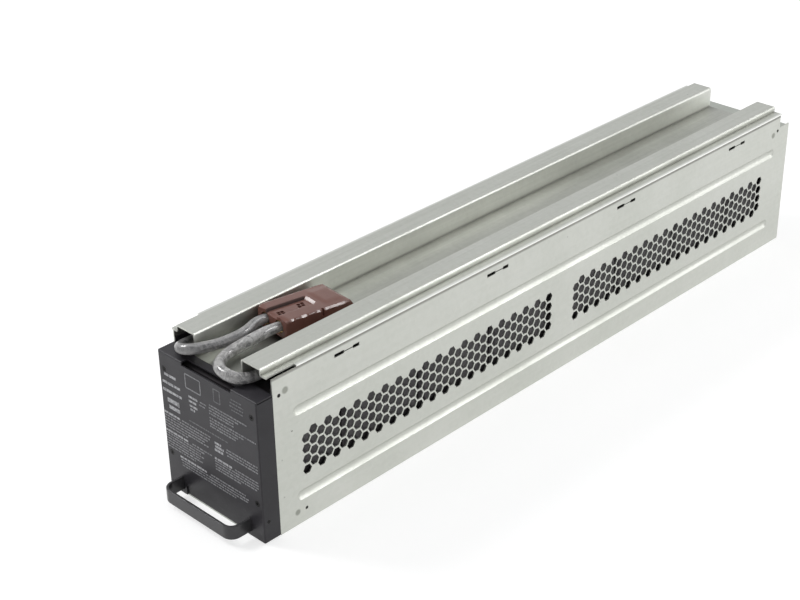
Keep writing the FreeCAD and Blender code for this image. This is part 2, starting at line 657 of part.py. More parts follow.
def battery(number):
    start = battery_start(number)
    case = box("battery_case", "battery_width - 2 * battery_step", "battery_length - 2 * battery_step",
               "battery_tall - battery_lid", "battery_step - battery_width / 2", f"{start} + battery_step",
               BATTERY_FLOOR)
    lid = box("battery_lid", "battery_width", "battery_length", "battery_lid", "-battery_width / 2", start,
              f"{BATTERY_TOP} - battery_lid")
    whole = join("battery_join", [case, lid])
    soft = rounded("battery_soft", whole, "battery_round", lambda edge: runs_along(edge, 2))
    wells = [box("battery_well", "tab_width + 2 * well_margin", "tab_inset + well_margin", "2 * well_depth",
                 f"{side} * tab_offset - tab_width / 2 - well_margin",
                 f"{tab_place(number)} - (tab_inset + well_margin) / 2", WELL_FLOOR) for side in (-1, 1)]
    node(f"battery_{number + 1}", cut("battery_cut", soft, wells))


for number in range(COUNT):
    battery(number)

tabs = [box("tab", "tab_width", "tab_sheet", "tab_tall", f"{side} * tab_offset - tab_width / 2",
            f"{tab_place(number)} - tab_sheet / 2", WELL_FLOOR)
        for number in range(COUNT) for side in (-1, 1)]
node("battery_tabs", group("tab_group", tabs))

node("base_liner", box("liner_block", "battery_width - 2 * liner_inset", f"{BATTERY_PITCH} * battery_count",
                       "liner_sheet", "liner_inset - battery_width / 2", BATTERY_FRONT, "base_sheet"))

for number in range(COUNT - 1):
    node(f"foam_spacer_{number + 1}",
         box("spacer_block", "pad_width", "battery_gap", "pad_tall", "-pad_width / 2",
             f"{battery_start(number)} + battery_length", f"{BATTERY_FLOOR} + pad_low"))
node("front_foam_pad", box("front_pad_block", "pad_width", "front_foam", "pad_tall - pad_low", "-pad_width / 2",
                           WEB_BACK, f"{BATTERY_FLOOR} + 2 * pad_low"))
BATTERY_END = f"({battery_start(0)} + {BATTERY_PITCH} * battery_count - battery_gap)"
node("rear_foam_pad", box("rear_pad_block", "pad_width", f"case_length - end_sheet - {BATTERY_END}", "pad_tall",
                          "-pad_width / 2", BATTERY_END, f"{BATTERY_FLOOR} + pad_low"))

# Hold-down foam between the batteries and the trough, in two lengths with the cross strap between them

STRAP_PLACE = f"({battery_start(4)} - battery_gap / 2)"
FOAM_TOP = f"{TROUGH_UNDER} - {BATTERY_TOP}"
node("hold_down_foam_front",
     box("foam_front_block", "foam_width", f"{STRAP_PLACE} - strap_room - foam_start", FOAM_TOP, "-foam_width / 2",
         "foam_start", BATTERY_TOP))
node("hold_down_foam_rear",
     box("foam_rear_block", "foam_width", f"case_length - weld_tab - weld_gap - {STRAP_PLACE} - strap_room", FOAM_TOP,
         "-foam_width / 2", f"{STRAP_PLACE} + strap_room", BATTERY_TOP))

# Series links: a lug on each tab and an insulated cable between them; the fourth crosses from left to right

LUG_LOW = f"({BATTERY_TOP} + lug_lift)"


def lug(side, number):
    """A block that slides over a battery's tab."""
    block = box("lug_block", "lug_width", "lug_length", f"lug_top - {LUG_LOW}",
                f"{side} * tab_offset - lug_width / 2", f"{tab_place(number)} - lug_length / 2", LUG_LOW)
    slot = box("lug_slot", "tab_width + 2 * play", "tab_sheet + 2 * play",
               f"{WELL_FLOOR} + tab_tall - {LUG_LOW} + 2 * play", f"{side} * tab_offset - tab_width / 2 - play",
               f"{tab_place(number)} - tab_sheet / 2 - play", LUG_LOW)
    return cut("lug", block, [slot])


def straight_link(number, side):
    """A link between a battery and the next one, on one side."""
    first, last = tab_place(number), tab_place(number + 1)
    cable = rod("link_cable", "link_cable", f"{last} - {first} - lug_length", "y", f"{side} * tab_offset",
                f"{first} + lug_length / 2", "lug_top - link_cable / 2")
    return join("link_join", [lug(side, number), cable, lug(side, number + 1)])


def cross_link():
    """A flat strap from the left tab of the fourth battery to the right tab of the fifth."""
    low, width = LUG_LOW, "lug_width"
    left = box("strap_left", width, f"{STRAP_PLACE} - {tab_place(3)} - lug_length / 2 + lug_width / 2",
               "strap_sheet", "-tab_offset - lug_width / 2", f"{tab_place(3)} + lug_length / 2", low)
    middle = box("strap_middle", "2 * tab_offset + lug_width", width, "strap_sheet",
                 "-tab_offset - lug_width / 2", f"{STRAP_PLACE} - lug_width / 2", low)
    right = box("strap_right", width, f"{tab_place(4)} - lug_length / 2 - {STRAP_PLACE} + lug_width / 2",
                "strap_sheet", "tab_offset - lug_width / 2", f"{STRAP_PLACE} - lug_width / 2", low)
    return join("strap_join", [lug(-1, 3), left, middle, right, lug(1, 4)])


LINK_SIDES = (1, -1, 1, 0, -1, 1, -1)
for number in range(COUNT - 1):
    turn_side = LINK_SIDES[number % len(LINK_SIDES)]
    node(f"series_link_{number + 1}", straight_link(number, turn_side) if turn_side else cross_link())

# Leads: sleeved cables. Inside the rails they run to the first and the last battery, outside they are free


def tube(name, points, diameter):
    """A round bar along straight runs joined by tangent arcs, as large as the runs allow."""
    edges, here = [], points[0]
    for before, corner, after in zip(points, points[1:], points[2:]):
        run_in, run_out = corner - before, after - corner
        turn = run_in.getAngle(run_out)
        reach = 0.45 * min(run_in.Length, run_out.Length)
        radius = reach / math.tan(turn / 2)
        start = corner - run_in.normalize() * reach
        stop = corner + run_out.normalize() * reach
        inward = (stop - corner) + (start - corner)
        middle = corner + inward.normalize() * (math.hypot(radius, reach) - radius)
        edges += [Part.LineSegment(here, start).toShape(), Part.Arc(start, middle, stop).toShape()]
        print(f"{name}: radius {radius:.1f} at {corner.x:.1f} {corner.y:.1f} {corner.z:.1f}")
        here = stop
    edges.append(Part.LineSegment(here, points[-1]).toShape())
    path = Part.Wire(edges)
    ring = Part.Wire(Part.makeCircle(diameter / 2, points[0], points[1] - points[0]))
    solid = path.makePipeShell([ring], True, True)
    ideal = path.Length * math.pi * diameter ** 2 / 4
    print(f"{name}: length {path.Length:.1f}, volume over section times length {solid.Volume / ideal:.4f}")
    return solid


LEAD = size("lead_diameter")
LEVEL = size("lead_level")
EXIT = size("lead_exit")
LAST_RUN = 9
plug_turn, plug_dip = math.radians(size("plug_turn")), math.radians(size("plug_dip"))
along = Vector(math.sin(plug_turn) * math.cos(plug_dip), math.cos(plug_turn) * math.cos(plug_dip), -math.sin(plug_dip))
across = Vector(math.cos(plug_turn), -math.sin(plug_turn), 0)
upward = across.cross(along)
plug_low = size(TROUGH_TOP) + size("plug_length") * math.sin(plug_dip)
plug_foot = Vector(size("plug_side"), size("plug_start"), plug_low)


def pole(side):
    """Middle of a wire entry on the connector's wire end."""
    return plug_foot + across * (side * size("pole_spread") / 2) + upward * (size("plug_tall") / 2)


def lead_points(side, between):
    """Straight out of the rail, through the points chosen by hand, straight into the connector."""
    last = pole(side)
    return [Vector(between[0][0], EXIT, LEVEL)] + [Vector(*p) for p in between] + [last - along * LAST_RUN, last]


LEFT_ROUTE = [(-35.2, -9.2, 113.2), (-21.2, -9.0, 116.4), (-12.8, 5.8, 117.0), (-9.4, 20.0, 117.7),
              (-9.2, 31.5, 118.9)]
RIGHT_ROUTE = [(28.0, -8.2, 113.0), (6.6, -9.7, 114.4), (-1.6, 3.2, 114.7), (-1.2, 17.5, 116.3),
               (1.6, 29.5, 118.6)]
left_free = lead_points(-1, LEFT_ROUTE)
right_free = lead_points(1, RIGHT_ROUTE)
feature("left_lead", tube("left_lead", left_free, LEAD))
feature("right_lead", tube("right_lead", right_free, LEAD))


def shoe(side, number, level):
    """The lug at a lead's inner end, tall enough to meet the lead."""
    half, middle, low = size("lug_width / 2"), size(tab_place(number)), size(LUG_LOW)
    x = side * size("tab_offset")
    block = Part.makeBox(2 * half, 2 * half, level + LEAD / 2 - low, Vector(x - half, middle - half, low))
    slot_long, slot_wide = size("tab_width + 2 * play"), size("tab_sheet + 2 * play")
    slot = Part.makeBox(slot_long, slot_wide, size(f"{WELL_FLOOR} + tab_tall + 2 * play") - low,
                        Vector(x - slot_long / 2, middle - slot_wide / 2, low))
    return block.cut(slot)


def inner_lead(name, side, number, free, level, bends):
    """The held part of a lead: on in line from the free part, then to its battery's tab, with its shoe."""
    x, stop = side * size("tab_offset"), size(tab_place(number)) - size("lug_width / 2")
    run = (free[0] - free[1]).normalize()
    path = [free[0], free[0] + run * bends[0], Vector(x, bends[1], level), Vector(x, stop, level)]
    feature(name, tube(name, path, LEAD).fuse(shoe(side, number, level)).removeSplitter())


inner_lead("left_lead_inner", -1, 0, left_free, LEVEL, (10, 32))
inner_lead("right_lead_inner", 1, COUNT - 1, right_free, size("lead_high"), (7, 34))

# Power connector: brown moulded housing with two wire entries, two contact mouths and a recess on top

plug_body = doc.addObject("PartDesign::Body", "PlugBody")
planes = {o.Role: o for o in plug_body.Origin.OriginFeatures}


def flat_sketch(body, name, role, lift=None):
    """A sketch on one of the body's own origin planes, lifted off it by a formula."""
    drawn = body.newObject("Sketcher::SketchObject", name)
    drawn.AttachmentSupport = (planes[role], "")
    drawn.MapMode = "FlatFace"
    if lift:
        drawn.setExpression("AttachmentOffset.Base.z", formula(lift))
    return drawn


def rectangle(sketch, width, height, x, y):
    """A rectangle whose low corner is at x, y, all four as formulas."""
    w, h, x0, y0 = size(width), size(height), size(x), size(y)
    corners = [Vector(x0, y0, 0), Vector(x0 + w, y0, 0), Vector(x0 + w, y0 + h, 0), Vector(x0, y0 + h, 0)]
    lines = [sketch.addGeometry(Part.LineSegment(corners[i], corners[(i + 1) % 4]), False) for i in range(4)]
    for i in range(4):
        hold(sketch, "Coincident", lines[i], END, lines[(i + 1) % 4], START)
        hold(sketch, ("Horizontal", "Vertical")[i % 2], lines[i])
    hold_size(sketch, width, "DistanceX", lines[0], START, lines[0], END)
    hold_size(sketch, height, "DistanceY", lines[1], START, lines[1], END)
    hold_size(sketch, x, "DistanceX", -1, START, lines[0], START)
    hold_size(sketch, y, "DistanceY", -1, START, lines[0], START)


def pocket(body, name, profile, depth, inward):
    """A pocket whose direction is turned until it takes material away."""
    doc.recompute()
    before = body.Tip.Shape.Volume
    hollow = body.newObject("PartDesign::Pocket", name)
    hollow.Profile = profile
    hollow.setExpression("Length", formula(depth))
    hollow.Reversed = inward
    doc.recompute()
    if hollow.Shape.isNull() or hollow.Shape.Volume > before - 1:
        hollow.Reversed = not inward
        doc.recompute()
    return hollow


plug_plan = flat_sketch(plug_body, "PlugPlan", "XY_Plane")
rectangle(plug_plan, "plug_width", "plug_length", "-plug_width / 2", "0")
plug_pad = plug_body.newObject("PartDesign::Pad", "PlugPad")
plug_pad.Profile = plug_plan
plug_pad.setExpression("Length", formula("plug_tall"))
doc.recompute()
plug_soft = plug_body.newObject("PartDesign::Fillet", "PlugFillet")
plug_soft.Base = (plug_pad, [f"Edge{i}" for i, e in enumerate(plug_pad.Shape.Edges, start=1)
                             if runs_along(e, 1) or runs_along(e, 2)])
plug_soft.setExpression("Radius", formula("plug_round"))
entries = flat_sketch(plug_body, "PlugEntries", "XZ_Plane")
for side in (-1, 1):
    centre = Vector(side * size("pole_spread / 2"), size("plug_tall / 2"), 0)
    ring = entries.addGeometry(Part.Circle(centre, Vector(0, 0, 1), size("pole_bore / 2")), False)
    hold_size(entries, "pole_bore / 2", "Radius", ring)
    hold_size(entries, f"{side} * pole_spread / 2", "DistanceX", -1, START, ring, CENTRE)
    hold_size(entries, "plug_tall / 2", "DistanceY", -1, START, ring, CENTRE)
pocket(plug_body, "PlugEntryPocket", entries, "pole_depth", True)
mouths = flat_sketch(plug_body, "PlugMouths", "XZ_Plane", "-plug_length")
for side in (-1, 1):
    rectangle(mouths, "mouth_width", "mouth_tall", f"{side} * pole_spread / 2 - mouth_width / 2",
              "plug_tall / 2 - mouth_tall / 2")
pocket(plug_body, "PlugMouthPocket", mouths, "mouth_depth", False)
channels = flat_sketch(plug_body, "PlugChannels", "XZ_Plane", "-plug_length")
for side in (-1, 1):
    rectangle(channels, "contact_width + 4 * play", "contact_sheet + 4 * play",
              f"{side} * pole_spread / 2 - contact_width / 2 - 2 * play", "plug_tall / 2 - mouth_tall / 2")
pocket(plug_body, "PlugChannelPocket", channels, "plug_length - pole_depth + contact_sheet / 2", False)
recess = flat_sketch(plug_body, "PlugRecess", "XY_Plane", "plug_tall")
rectangle(recess, "0.34 * plug_width", "0.6 * plug_length", "-0.2 * plug_width", "0")
pocket(plug_body, "PlugRecessPocket", recess, "plug_recess", False)
plug_place = Placement(plug_foot + Vector(0, size(FRONT), 0),
                       Rotation(Vector(0, 0, 1), -size("plug_turn")) * Rotation(Vector(1, 0, 0), -size("plug_dip")))
plug_body.Placement = plug_place
place(plug_body, "plug_side", "plug_start", f"{TROUGH_TOP} + plug_length * sin(plug_dip * 1 deg)")
node("connector_housing", plug_body)


def contact(side):
    """A crimp barrel behind the wire and a flat blade in the mouth, in the connector's own frame."""
    name = "contact_left" if side < 0 else "contact_right"
    middle, level, start = side * size("pole_spread / 2"), size("plug_tall / 2"), size("pole_depth")
    lap, wide, thick = size("contact_sheet / 2"), size("contact_width"), size("contact_sheet")
    barrel = Part.makeCylinder(size("pole_bore / 2 - play"), start, Vector(middle, 0, level), Vector(0, 1, 0))
    blade = Part.makeBox(wide, size("plug_length - contact_inset") - start + lap, thick,
                         Vector(middle - wide / 2, start - lap, size("plug_tall / 2 - mouth_tall / 2 + 2 * play")))
    made = doc.addObject("Part::Feature", name)
    made.Shape = barrel.fuse(blade)
    made.Placement = plug_place
    node(name, made)


for side in (-1, 1):
    contact(side)

# Check every object and write each sub-part

doc.recompute()
for obj in doc.Objects:
    if "Invalid" in obj.State or "Error" in obj.State:
        raise RuntimeError(f"{obj.Label} failed: {obj.State}")
for name, obj in NODES.items():
    if obj.Shape.isNull() or not obj.Shape.isValid():
        raise RuntimeError(f"{name} has a bad shape")
os.makedirs("parts", exist_ok=True)
for name, obj in NODES.items():
    obj.Shape.exportStep(f"parts/{name}.step")
print(f"{len(NODES)} sub-parts written")
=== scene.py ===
"""Battery cartridge for a UPS: a zinc-coated steel case with a black front, a handle and a brown connector.

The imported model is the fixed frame. This script adds the free leads, the connector's moulding, the print on
the front, the finishes, the floor, the light and the camera. Metres: X to the right, Y to the rear, Z up.
"""

import math
import random

import bmesh
import bpy
from mathutils import Matrix, Vector


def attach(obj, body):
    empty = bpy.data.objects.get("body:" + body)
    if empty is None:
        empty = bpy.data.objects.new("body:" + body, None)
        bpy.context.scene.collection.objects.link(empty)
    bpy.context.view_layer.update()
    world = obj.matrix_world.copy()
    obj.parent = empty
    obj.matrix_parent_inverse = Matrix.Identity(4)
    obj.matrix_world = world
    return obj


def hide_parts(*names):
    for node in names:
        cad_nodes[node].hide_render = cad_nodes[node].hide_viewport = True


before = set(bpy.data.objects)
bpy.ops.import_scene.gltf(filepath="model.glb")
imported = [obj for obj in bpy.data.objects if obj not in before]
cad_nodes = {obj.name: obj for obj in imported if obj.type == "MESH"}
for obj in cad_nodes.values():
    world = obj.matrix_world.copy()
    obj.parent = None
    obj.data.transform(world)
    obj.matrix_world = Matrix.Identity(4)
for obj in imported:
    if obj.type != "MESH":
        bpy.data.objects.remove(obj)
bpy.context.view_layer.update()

# Camera: above the right front corner of the case and looking back along it, from the photograph's own
# viewpoint, with its 800 by 600 frame.

CAMERA_PLACE = (0.70389, -0.82386, 0.64469)
CAMERA_ROUND, CAMERA_DOWN, CAMERA_ROLL = 44.754, 28.978, -1.029

camera_data = bpy.data.cameras.new("camera")
camera_data.sensor_width = 36
camera_data.lens = 72.72
camera = bpy.data.objects.new("camera", camera_data)
camera.matrix_world = (Matrix.Translation(CAMERA_PLACE)
                       @ Matrix.Rotation(math.radians(CAMERA_ROUND), 4, "Z")
                       @ Matrix.Rotation(math.radians(90 - CAMERA_DOWN), 4, "X")
                       @ Matrix.Rotation(math.radians(CAMERA_ROLL), 4, "Z"))
bpy.context.scene.collection.objects.link(camera)
bpy.context.scene.camera = camera

# Free leads: stranded cables, each in a loose grey plastic sleeve that wrinkles where it is bent. They come
# out of the two rails, fold back over the front edge and run into the connector's wire entries. The routes'
# points count from the side panels' front edge, and a swell is how much the sleeve bulges at each point.

PANEL_FRONT = -0.2769
LEAD_DIAMETER = 0.0074
LEFT_LEAD = [(-0.0352, 0.0048, 0.1120), (-0.0352, -0.0092, 0.1132), (-0.0212, -0.0090, 0.1164),
             (-0.0128, 0.0058, 0.1170), (-0.0094, 0.0200, 0.1177), (-0.0092, 0.0315, 0.1189),
             (-0.01290, 0.04120, 0.11977), (-0.01213, 0.05014, 0.11914)]
RIGHT_LEAD = [(0.0280, 0.0048, 0.1120), (0.0280, -0.0082, 0.1130), (0.0066, -0.0097, 0.1144),
              (-0.0016, 0.0032, 0.1147), (-0.0012, 0.0175, 0.1163), (0.0016, 0.0295, 0.1186),
              (0.00205, 0.03992, 0.11977), (0.00282, 0.04886, 0.11914)]
LEFT_SWELL = (1.0, 1.0, 1.06, 1.0, 1.05, 1.02, 0.95, 0.92)
RIGHT_SWELL = (1.0, 1.08, 1.1, 1.0, 1.12, 1.16, 1.0, 0.92)


def lead_curve(name, route, swell):
    """A lead on the smooth curve that its route's points pull on, in a sleeve that swells here and there."""
    drawn = bpy.data.curves.new(name, "CURVE")
    drawn.dimensions = "3D"
    drawn.resolution_u = 24
    drawn.bevel_depth = LEAD_DIAMETER / 2
    drawn.bevel_resolution = 8
    drawn.use_fill_caps = True
    spline = drawn.splines.new("NURBS")
    spline.points.add(len(route) - 1)
    for point, (x, y, z), wide in zip(spline.points, route, swell):
        point.co = (x, y + PANEL_FRONT, z, 1)
        point.radius = wide
    spline.order_u = 3
    spline.use_endpoint_u = True
    made = bpy.data.objects.new(name, drawn)
    bpy.context.scene.collection.objects.link(made)
    return made


def start_finish(name, metallic=0.0, roughness=0.5):
    """A node material with its shader, and the place on the object as the nodes' first input."""
    made = bpy.data.materials.new(name)
    made.use_nodes = True
    tree = made.node_tree
    shader = tree.nodes["Principled BSDF"]
    shader.inputs["Metallic"].default_value = metallic
    shader.inputs["Roughness"].default_value = roughness
    return made, tree, shader, tree.nodes.new("ShaderNodeTexCoord").outputs["Object"]


def start_group(name, inputs, outputs):
    """A shader node group with named sockets, still empty."""
    group = bpy.data.node_groups.new(name, "ShaderNodeTree")
    for label, kind, value in inputs:
        group.interface.new_socket(label, in_out="INPUT", socket_type=kind).default_value = value
    for label, kind in outputs:
        group.interface.new_socket(label, in_out="OUTPUT", socket_type=kind)
    return group, group.nodes.new("NodeGroupInput").outputs, group.nodes.new("NodeGroupOutput").inputs


def feed(tree, value, socket):
    """Give a node's socket its value, which is another node's output or a plain number, vector or colour."""
    if isinstance(value, bpy.types.NodeSocket):
        tree.links.new(value, socket)
    else:
        socket.default_value = value


def use_group(tree, group, place, **values):
    """Put a node group in a material or in another group, with its own values."""
    node = tree.nodes.new("ShaderNodeGroup")
    node.node_tree = group
    tree.links.new(place, node.inputs["Place"])
    for label, value in values.items():
        feed(tree, value, node.inputs[label])
    return node.outputs


def add_bump(tree, shader, height, strength, distance):
    """Feed a height to the shader's normal."""
    bump = tree.nodes.new("ShaderNodeBump")
    bump.inputs["Strength"].default_value = strength
    bump.inputs["Distance"].default_value = distance
    tree.links.new(height, bump.inputs["Height"])
    tree.links.new(bump.outputs["Normal"], shader.inputs["Normal"])


def calculate(tree, kind, *values):
    """A sum on one to three values, each another node's output or a number."""
    node = tree.nodes.new("ShaderNodeMath")
    node.operation = kind
    for socket, value in zip(node.inputs, values):
        feed(tree, value, socket)
    return node.outputs["Value"]


def remap(tree, value, low, high, start=0, end=1):
    """Turn low to high into start to end, and hold the value at those two outside the range."""
    node = tree.nodes.new("ShaderNodeMapRange")
    labels = ("Value", "From Min", "From Max", "To Min", "To Max")
    for label, given in zip(labels, (value, low, high, start, end)):
        feed(tree, given, node.inputs[label])
    return node.outputs["Result"]


def blend_colours(tree, share, first, second):
    """A colour between two others."""
    node = tree.nodes.new("ShaderNodeMix")
    node.data_type = "RGBA"
    tree.links.new(share, node.inputs["Factor"])
    for label, value in (("A", first), ("B", second)):
        socket = next(s for s in node.inputs if s.name == label and s.type == "RGBA")
        feed(tree, value if isinstance(value, bpy.types.NodeSocket) else (*value, 1), socket)
    return next(s for s in node.outputs if s.type == "RGBA")


def give_finish(material, *names):
    """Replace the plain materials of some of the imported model's pieces by a finished one."""
    for name in names:
        mesh = cad_nodes[name].data
        mesh.materials.clear()
        mesh.materials.append(material)


cloud, inlet, outlet = start_group(
    "soft clouds",
    [("Place", "NodeSocketVector", (0, 0, 0)), ("Stretch", "NodeSocketVector", (1, 1, 1)),
     ("Scale", "NodeSocketFloat", 60), ("Detail", "NodeSocketFloat", 3), ("Low", "NodeSocketFloat", 0.35),
     ("High", "NodeSocketFloat", 0.65)],
    [("Share", "NodeSocketFloat")])
scaled = cloud.nodes.new("ShaderNodeVectorMath")
scaled.operation = "MULTIPLY"
cloud.links.new(inlet["Place"], scaled.inputs[0])
cloud.links.new(inlet["Stretch"], scaled.inputs[1])
noise = cloud.nodes.new("ShaderNodeTexNoise")
cloud.links.new(scaled.outputs["Vector"], noise.inputs["Vector"])
cloud.links.new(inlet["Scale"], noise.inputs["Scale"])
cloud.links.new(inlet["Detail"], noise.inputs["Detail"])
cloud.links.new(remap(cloud, noise.outputs["Fac"], inlet["Low"], inlet["High"]), outlet["Share"])

crumple, inlet, outlet = start_group(
    "creased film",
    [("Place", "NodeSocketVector", (0, 0, 0)), ("Scale", "NodeSocketFloat", 140),
     ("Thin", "NodeSocketFloat", 0.16)],
    [("Crease", "NodeSocketFloat"), ("Height", "NodeSocketFloat")])
wander = crumple.nodes.new("ShaderNodeTexNoise")
wander.inputs["Detail"].default_value = 2.5
wander.inputs["Distortion"].default_value = 1.2
crumple.links.new(inlet["Place"], wander.inputs["Vector"])
crumple.links.new(inlet["Scale"], wander.inputs["Scale"])
fold = calculate(crumple, "ABSOLUTE", calculate(crumple, "MULTIPLY_ADD", wander.outputs["Fac"], 2.0, -1.0))
sharp = remap(crumple, fold, 0, inlet["Thin"], 1, 0)
crumple.links.new(sharp, outlet["Crease"])
crumple.links.new(calculate(crumple, "MULTIPLY_ADD", sharp, 0.5, fold), outlet["Height"])


def sleeve_finish(name, streaky, creased):
    """Pale grey, slightly clear sleeve: streaks along the lead, and milky creases where it is crumpled."""
    material, tree, shader, place = start_finish(name, roughness=0.3)
    along = tree.nodes.new("ShaderNodeSeparateXYZ")
    tree.links.new(tree.nodes.new("ShaderNodeTexCoord").outputs["UV"], along.inputs["Vector"])
    turn = calculate(tree, "MULTIPLY", along.outputs["Y"], math.tau)
    round_lead = tree.nodes.new("ShaderNodeCombineXYZ")
    tree.links.new(calculate(tree, "MULTIPLY", along.outputs["X"], 3.6), round_lead.inputs["X"])
    tree.links.new(calculate(tree, "COSINE", turn), round_lead.inputs["Y"])
    tree.links.new(calculate(tree, "SINE", turn), round_lead.inputs["Z"])
    wrapped = round_lead.outputs["Vector"]
    streak = use_group(tree, cloud, wrapped, Scale=1.05, Detail=1.5, Low=0.36, High=0.6)["Share"]
    milky = use_group(tree, cloud, wrapped, Scale=2.3, Detail=4, Low=0.36, High=0.66)["Share"]
    broad = use_group(tree, crumple, place, Scale=85, Thin=0.2)
    narrow = use_group(tree, crumple, place, Scale=210, Thin=0.12)
    grey = blend_colours(tree, milky, (0.22, 0.215, 0.22), (0.41, 0.40, 0.39))
    grey = blend_colours(tree, calculate(tree, "MULTIPLY", streak, streaky), grey, (0.075, 0.075, 0.08))
    for folds, share, pale in ((broad, 0.75, (0.66, 0.65, 0.64)), (narrow, 0.5, (0.56, 0.55, 0.54))):
        grey = blend_colours(tree, calculate(tree, "MULTIPLY", folds["Crease"], share * creased), grey, pale)
    tree.links.new(grey, shader.inputs["Base Color"])
    shader.inputs["Coat Weight"].default_value = 0.9
    shader.inputs["Coat Roughness"].default_value = 0.13
    shader.inputs["Coat IOR"].default_value = 1.6
    height = calculate(tree, "MULTIPLY_ADD", narrow["Height"], 0.45, broad["Height"])
    height = calculate(tree, "MULTIPLY_ADD", height, creased,
                       calculate(tree, "MULTIPLY", streak, 0.6 * streaky))
    add_bump(tree, shader, height, 0.9, 0.0017)
    return material


LEADS = (("left_lead", LEFT_LEAD, LEFT_SWELL, sleeve_finish("smooth lead sleeve", 0.85, 0.3)),
         ("right_lead", RIGHT_LEAD, RIGHT_SWELL, sleeve_finish("crumpled lead sleeve", 0.3, 1.0)))
for cad_name, route, swell, sleeve in LEADS:
    lead = lead_curve(cad_name + "_sleeve", route, swell)
    lead.data.materials.append(sleeve)
    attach(lead, "root")
    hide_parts(cad_name)
    give_finish(sleeve, cad_name + "_inner")

# Power connector: a flat two-pole housing moulded in satin brown plastic. It has a round wire entry and a
# contact mouth for each pole, a sunk panel over its wire half and a slightly raised hood over its mating half.
# U runs across it, V along it from its wire end and W up from its underside.

PLUG_START = Vector((-0.0047, 0.049 + PANEL_FRONT, 0.108 + 0.056 * math.sin(math.radians(4))))
PLUG_TURN = (Matrix.Translation(PLUG_START) @ Matrix.Rotation(math.radians(-4.9), 4, "Z")
             @ Matrix.Rotation(math.radians(-4), 4, "X"))
PLUG_HALF, PLUG_LONG, PLUG_TALL = 0.01625, 0.056, 0.0145
PLUG_BACK = -0.0014
POLES = (-0.0075, 0.0075)
SUNK_DEPTH, HOOD_RISE, NOSE_DROP, ENTRY_DIP = 0.0019, 0.0006, 0.0038, 0.0007
ENTRY_RADIUS = 0.0046
PITS = ((-0.0002, 0.0040), (0.0026, 0.0034), (0.0000, 0.0068), (0.0027, 0.0064), (-0.0022, 0.0250),
        (0.0006, 0.0240), (-0.0018, 0.0218), (0.0010, 0.0208))
SIDE_GAP = 0.0287
FLAT_EDGES = ((0.0018, 0.0054), (0.0101, 0.0160), (0.0232, 0.0272), (0.0300, 0.0522))


def smooth(low, high, value):
    """0 below low, 1 above high and a soft ramp between them."""
    share = min(1, max(0, (value - low) / (high - low)))
    return share * share * (3 - 2 * share)


def plug_top(u, v):
    """Height of the connector's top at u across and v along it, from its middle line and its wire end."""
    ramp = min(1, max(0, (v - 0.0293) / 0.0023))
    sunk = smooth(-0.0069, -0.0063, u) * (1 - smooth(0.0046, 0.0058, u)) * (1 - ramp)
    hood = smooth(0.0335, 0.038, v) * (1 - smooth(0.0495, 0.0515, v)) * (1 - smooth(0.006, 0.0138, abs(u)))
    nose = smooth(0.0515, PLUG_LONG, v)
    arch = (1 - smooth(-0.0008, 0.0022, v)) * min(1, min(abs(u - x) for x in POLES) / 0.006)
    return PLUG_TALL - SUNK_DEPTH * sunk + HOOD_RISE * hood - NOSE_DROP * nose - ENTRY_DIP * arch


def round_edge(u, w, radius, start):
    """The points on a quarter turn round (u, w) from an angle in degrees, without its two ends."""
    angles = [math.radians(start + 15 * k) for k in range(1, 6)]
    return [(u + radius * math.cos(a), w + radius * math.sin(a)) for a in angles]


def plug_ring(v):
    """The points round the housing at one distance from its wire end. Its near top edge is flat in places."""
    end = min(v - PLUG_BACK, PLUG_LONG - v)
    soft, near_soft = 0.0022, 0.0012
    pinch = 0.0006 * (1 - smooth(0, 0.0014, end))
    half = PLUG_HALF - pinch - 0.0006 * smooth(0.047, PLUG_LONG, v)
    points = [(-half + soft, pinch), (half - soft, pinch)]
    points += round_edge(half - soft, pinch + soft, soft, -90)
    side_top = plug_top(half - near_soft, v) - pinch - near_soft
    flat = max(smooth(low - 0.0004, low + 0.0002, v) * (1 - smooth(high - 0.0002, high + 0.0004, v))
               for low, high in FLAT_EDGES)
    points += [(half, pinch + soft + (side_top - pinch - soft) * k / 6) for k in range(7)]
    for k in range(1, 6):
        a = math.radians(15 * k)
        out = math.cos(a) + flat * (0.97 - k / 6 * 0.94 - math.cos(a))
        up = math.sin(a) + flat * (0.03 + k / 6 * 0.94 - math.sin(a))
        points.append((half - near_soft * (1 - out), side_top + near_soft * up))
    across = 64
    for k in range(across + 1):
        u = half - near_soft - (2 * half - soft - near_soft) * k / across
        points.append((u, plug_top(u, v) - pinch))
    left_top = plug_top(-half + soft, v) - pinch - soft
    points += round_edge(-half + soft, left_top, soft, 90)
    points += [(-half, left_top + (pinch + soft - left_top) * k / 6) for k in range(7)]
    points += round_edge(-half + soft, pinch + soft, soft, 180)
    return [Vector((u, v, w)) for u, w in points]


def mesh_object(name, build):
    """A mesh object filled by a function that is given an empty bmesh."""
    mesh = bpy.data.meshes.new(name)
    shape = bmesh.new()
    build(shape)
    bmesh.ops.recalc_face_normals(shape, faces=shape.faces)
    shape.to_mesh(mesh)
    shape.free()
    made = bpy.data.objects.new(name, mesh)
    bpy.context.scene.collection.objects.link(made)
    return made


def build_plug(shape):
    """The moulding's outside, skinned over its rings from the wire end to the mating end."""
    stations = [PLUG_BACK + d for d in (0, 0.0003, 0.0007, 0.0012)] + [0.0004 + 0.0006 * k for k in range(92)]
    stations = [v for v in stations if v < PLUG_LONG - 0.0013]
    stations += [PLUG_LONG - d for d in (0.0012, 0.0007, 0.0003, 0)]
    rings = [[shape.verts.new(p) for p in plug_ring(v)] for v in stations]
    for first, second in zip(rings, rings[1:]):
        for k in range(len(first)):
            shape.faces.new((first[k - 1], first[k], second[k], second[k - 1]))
    shape.faces.new(rings[0])
    shape.faces.new(list(reversed(rings[-1])))


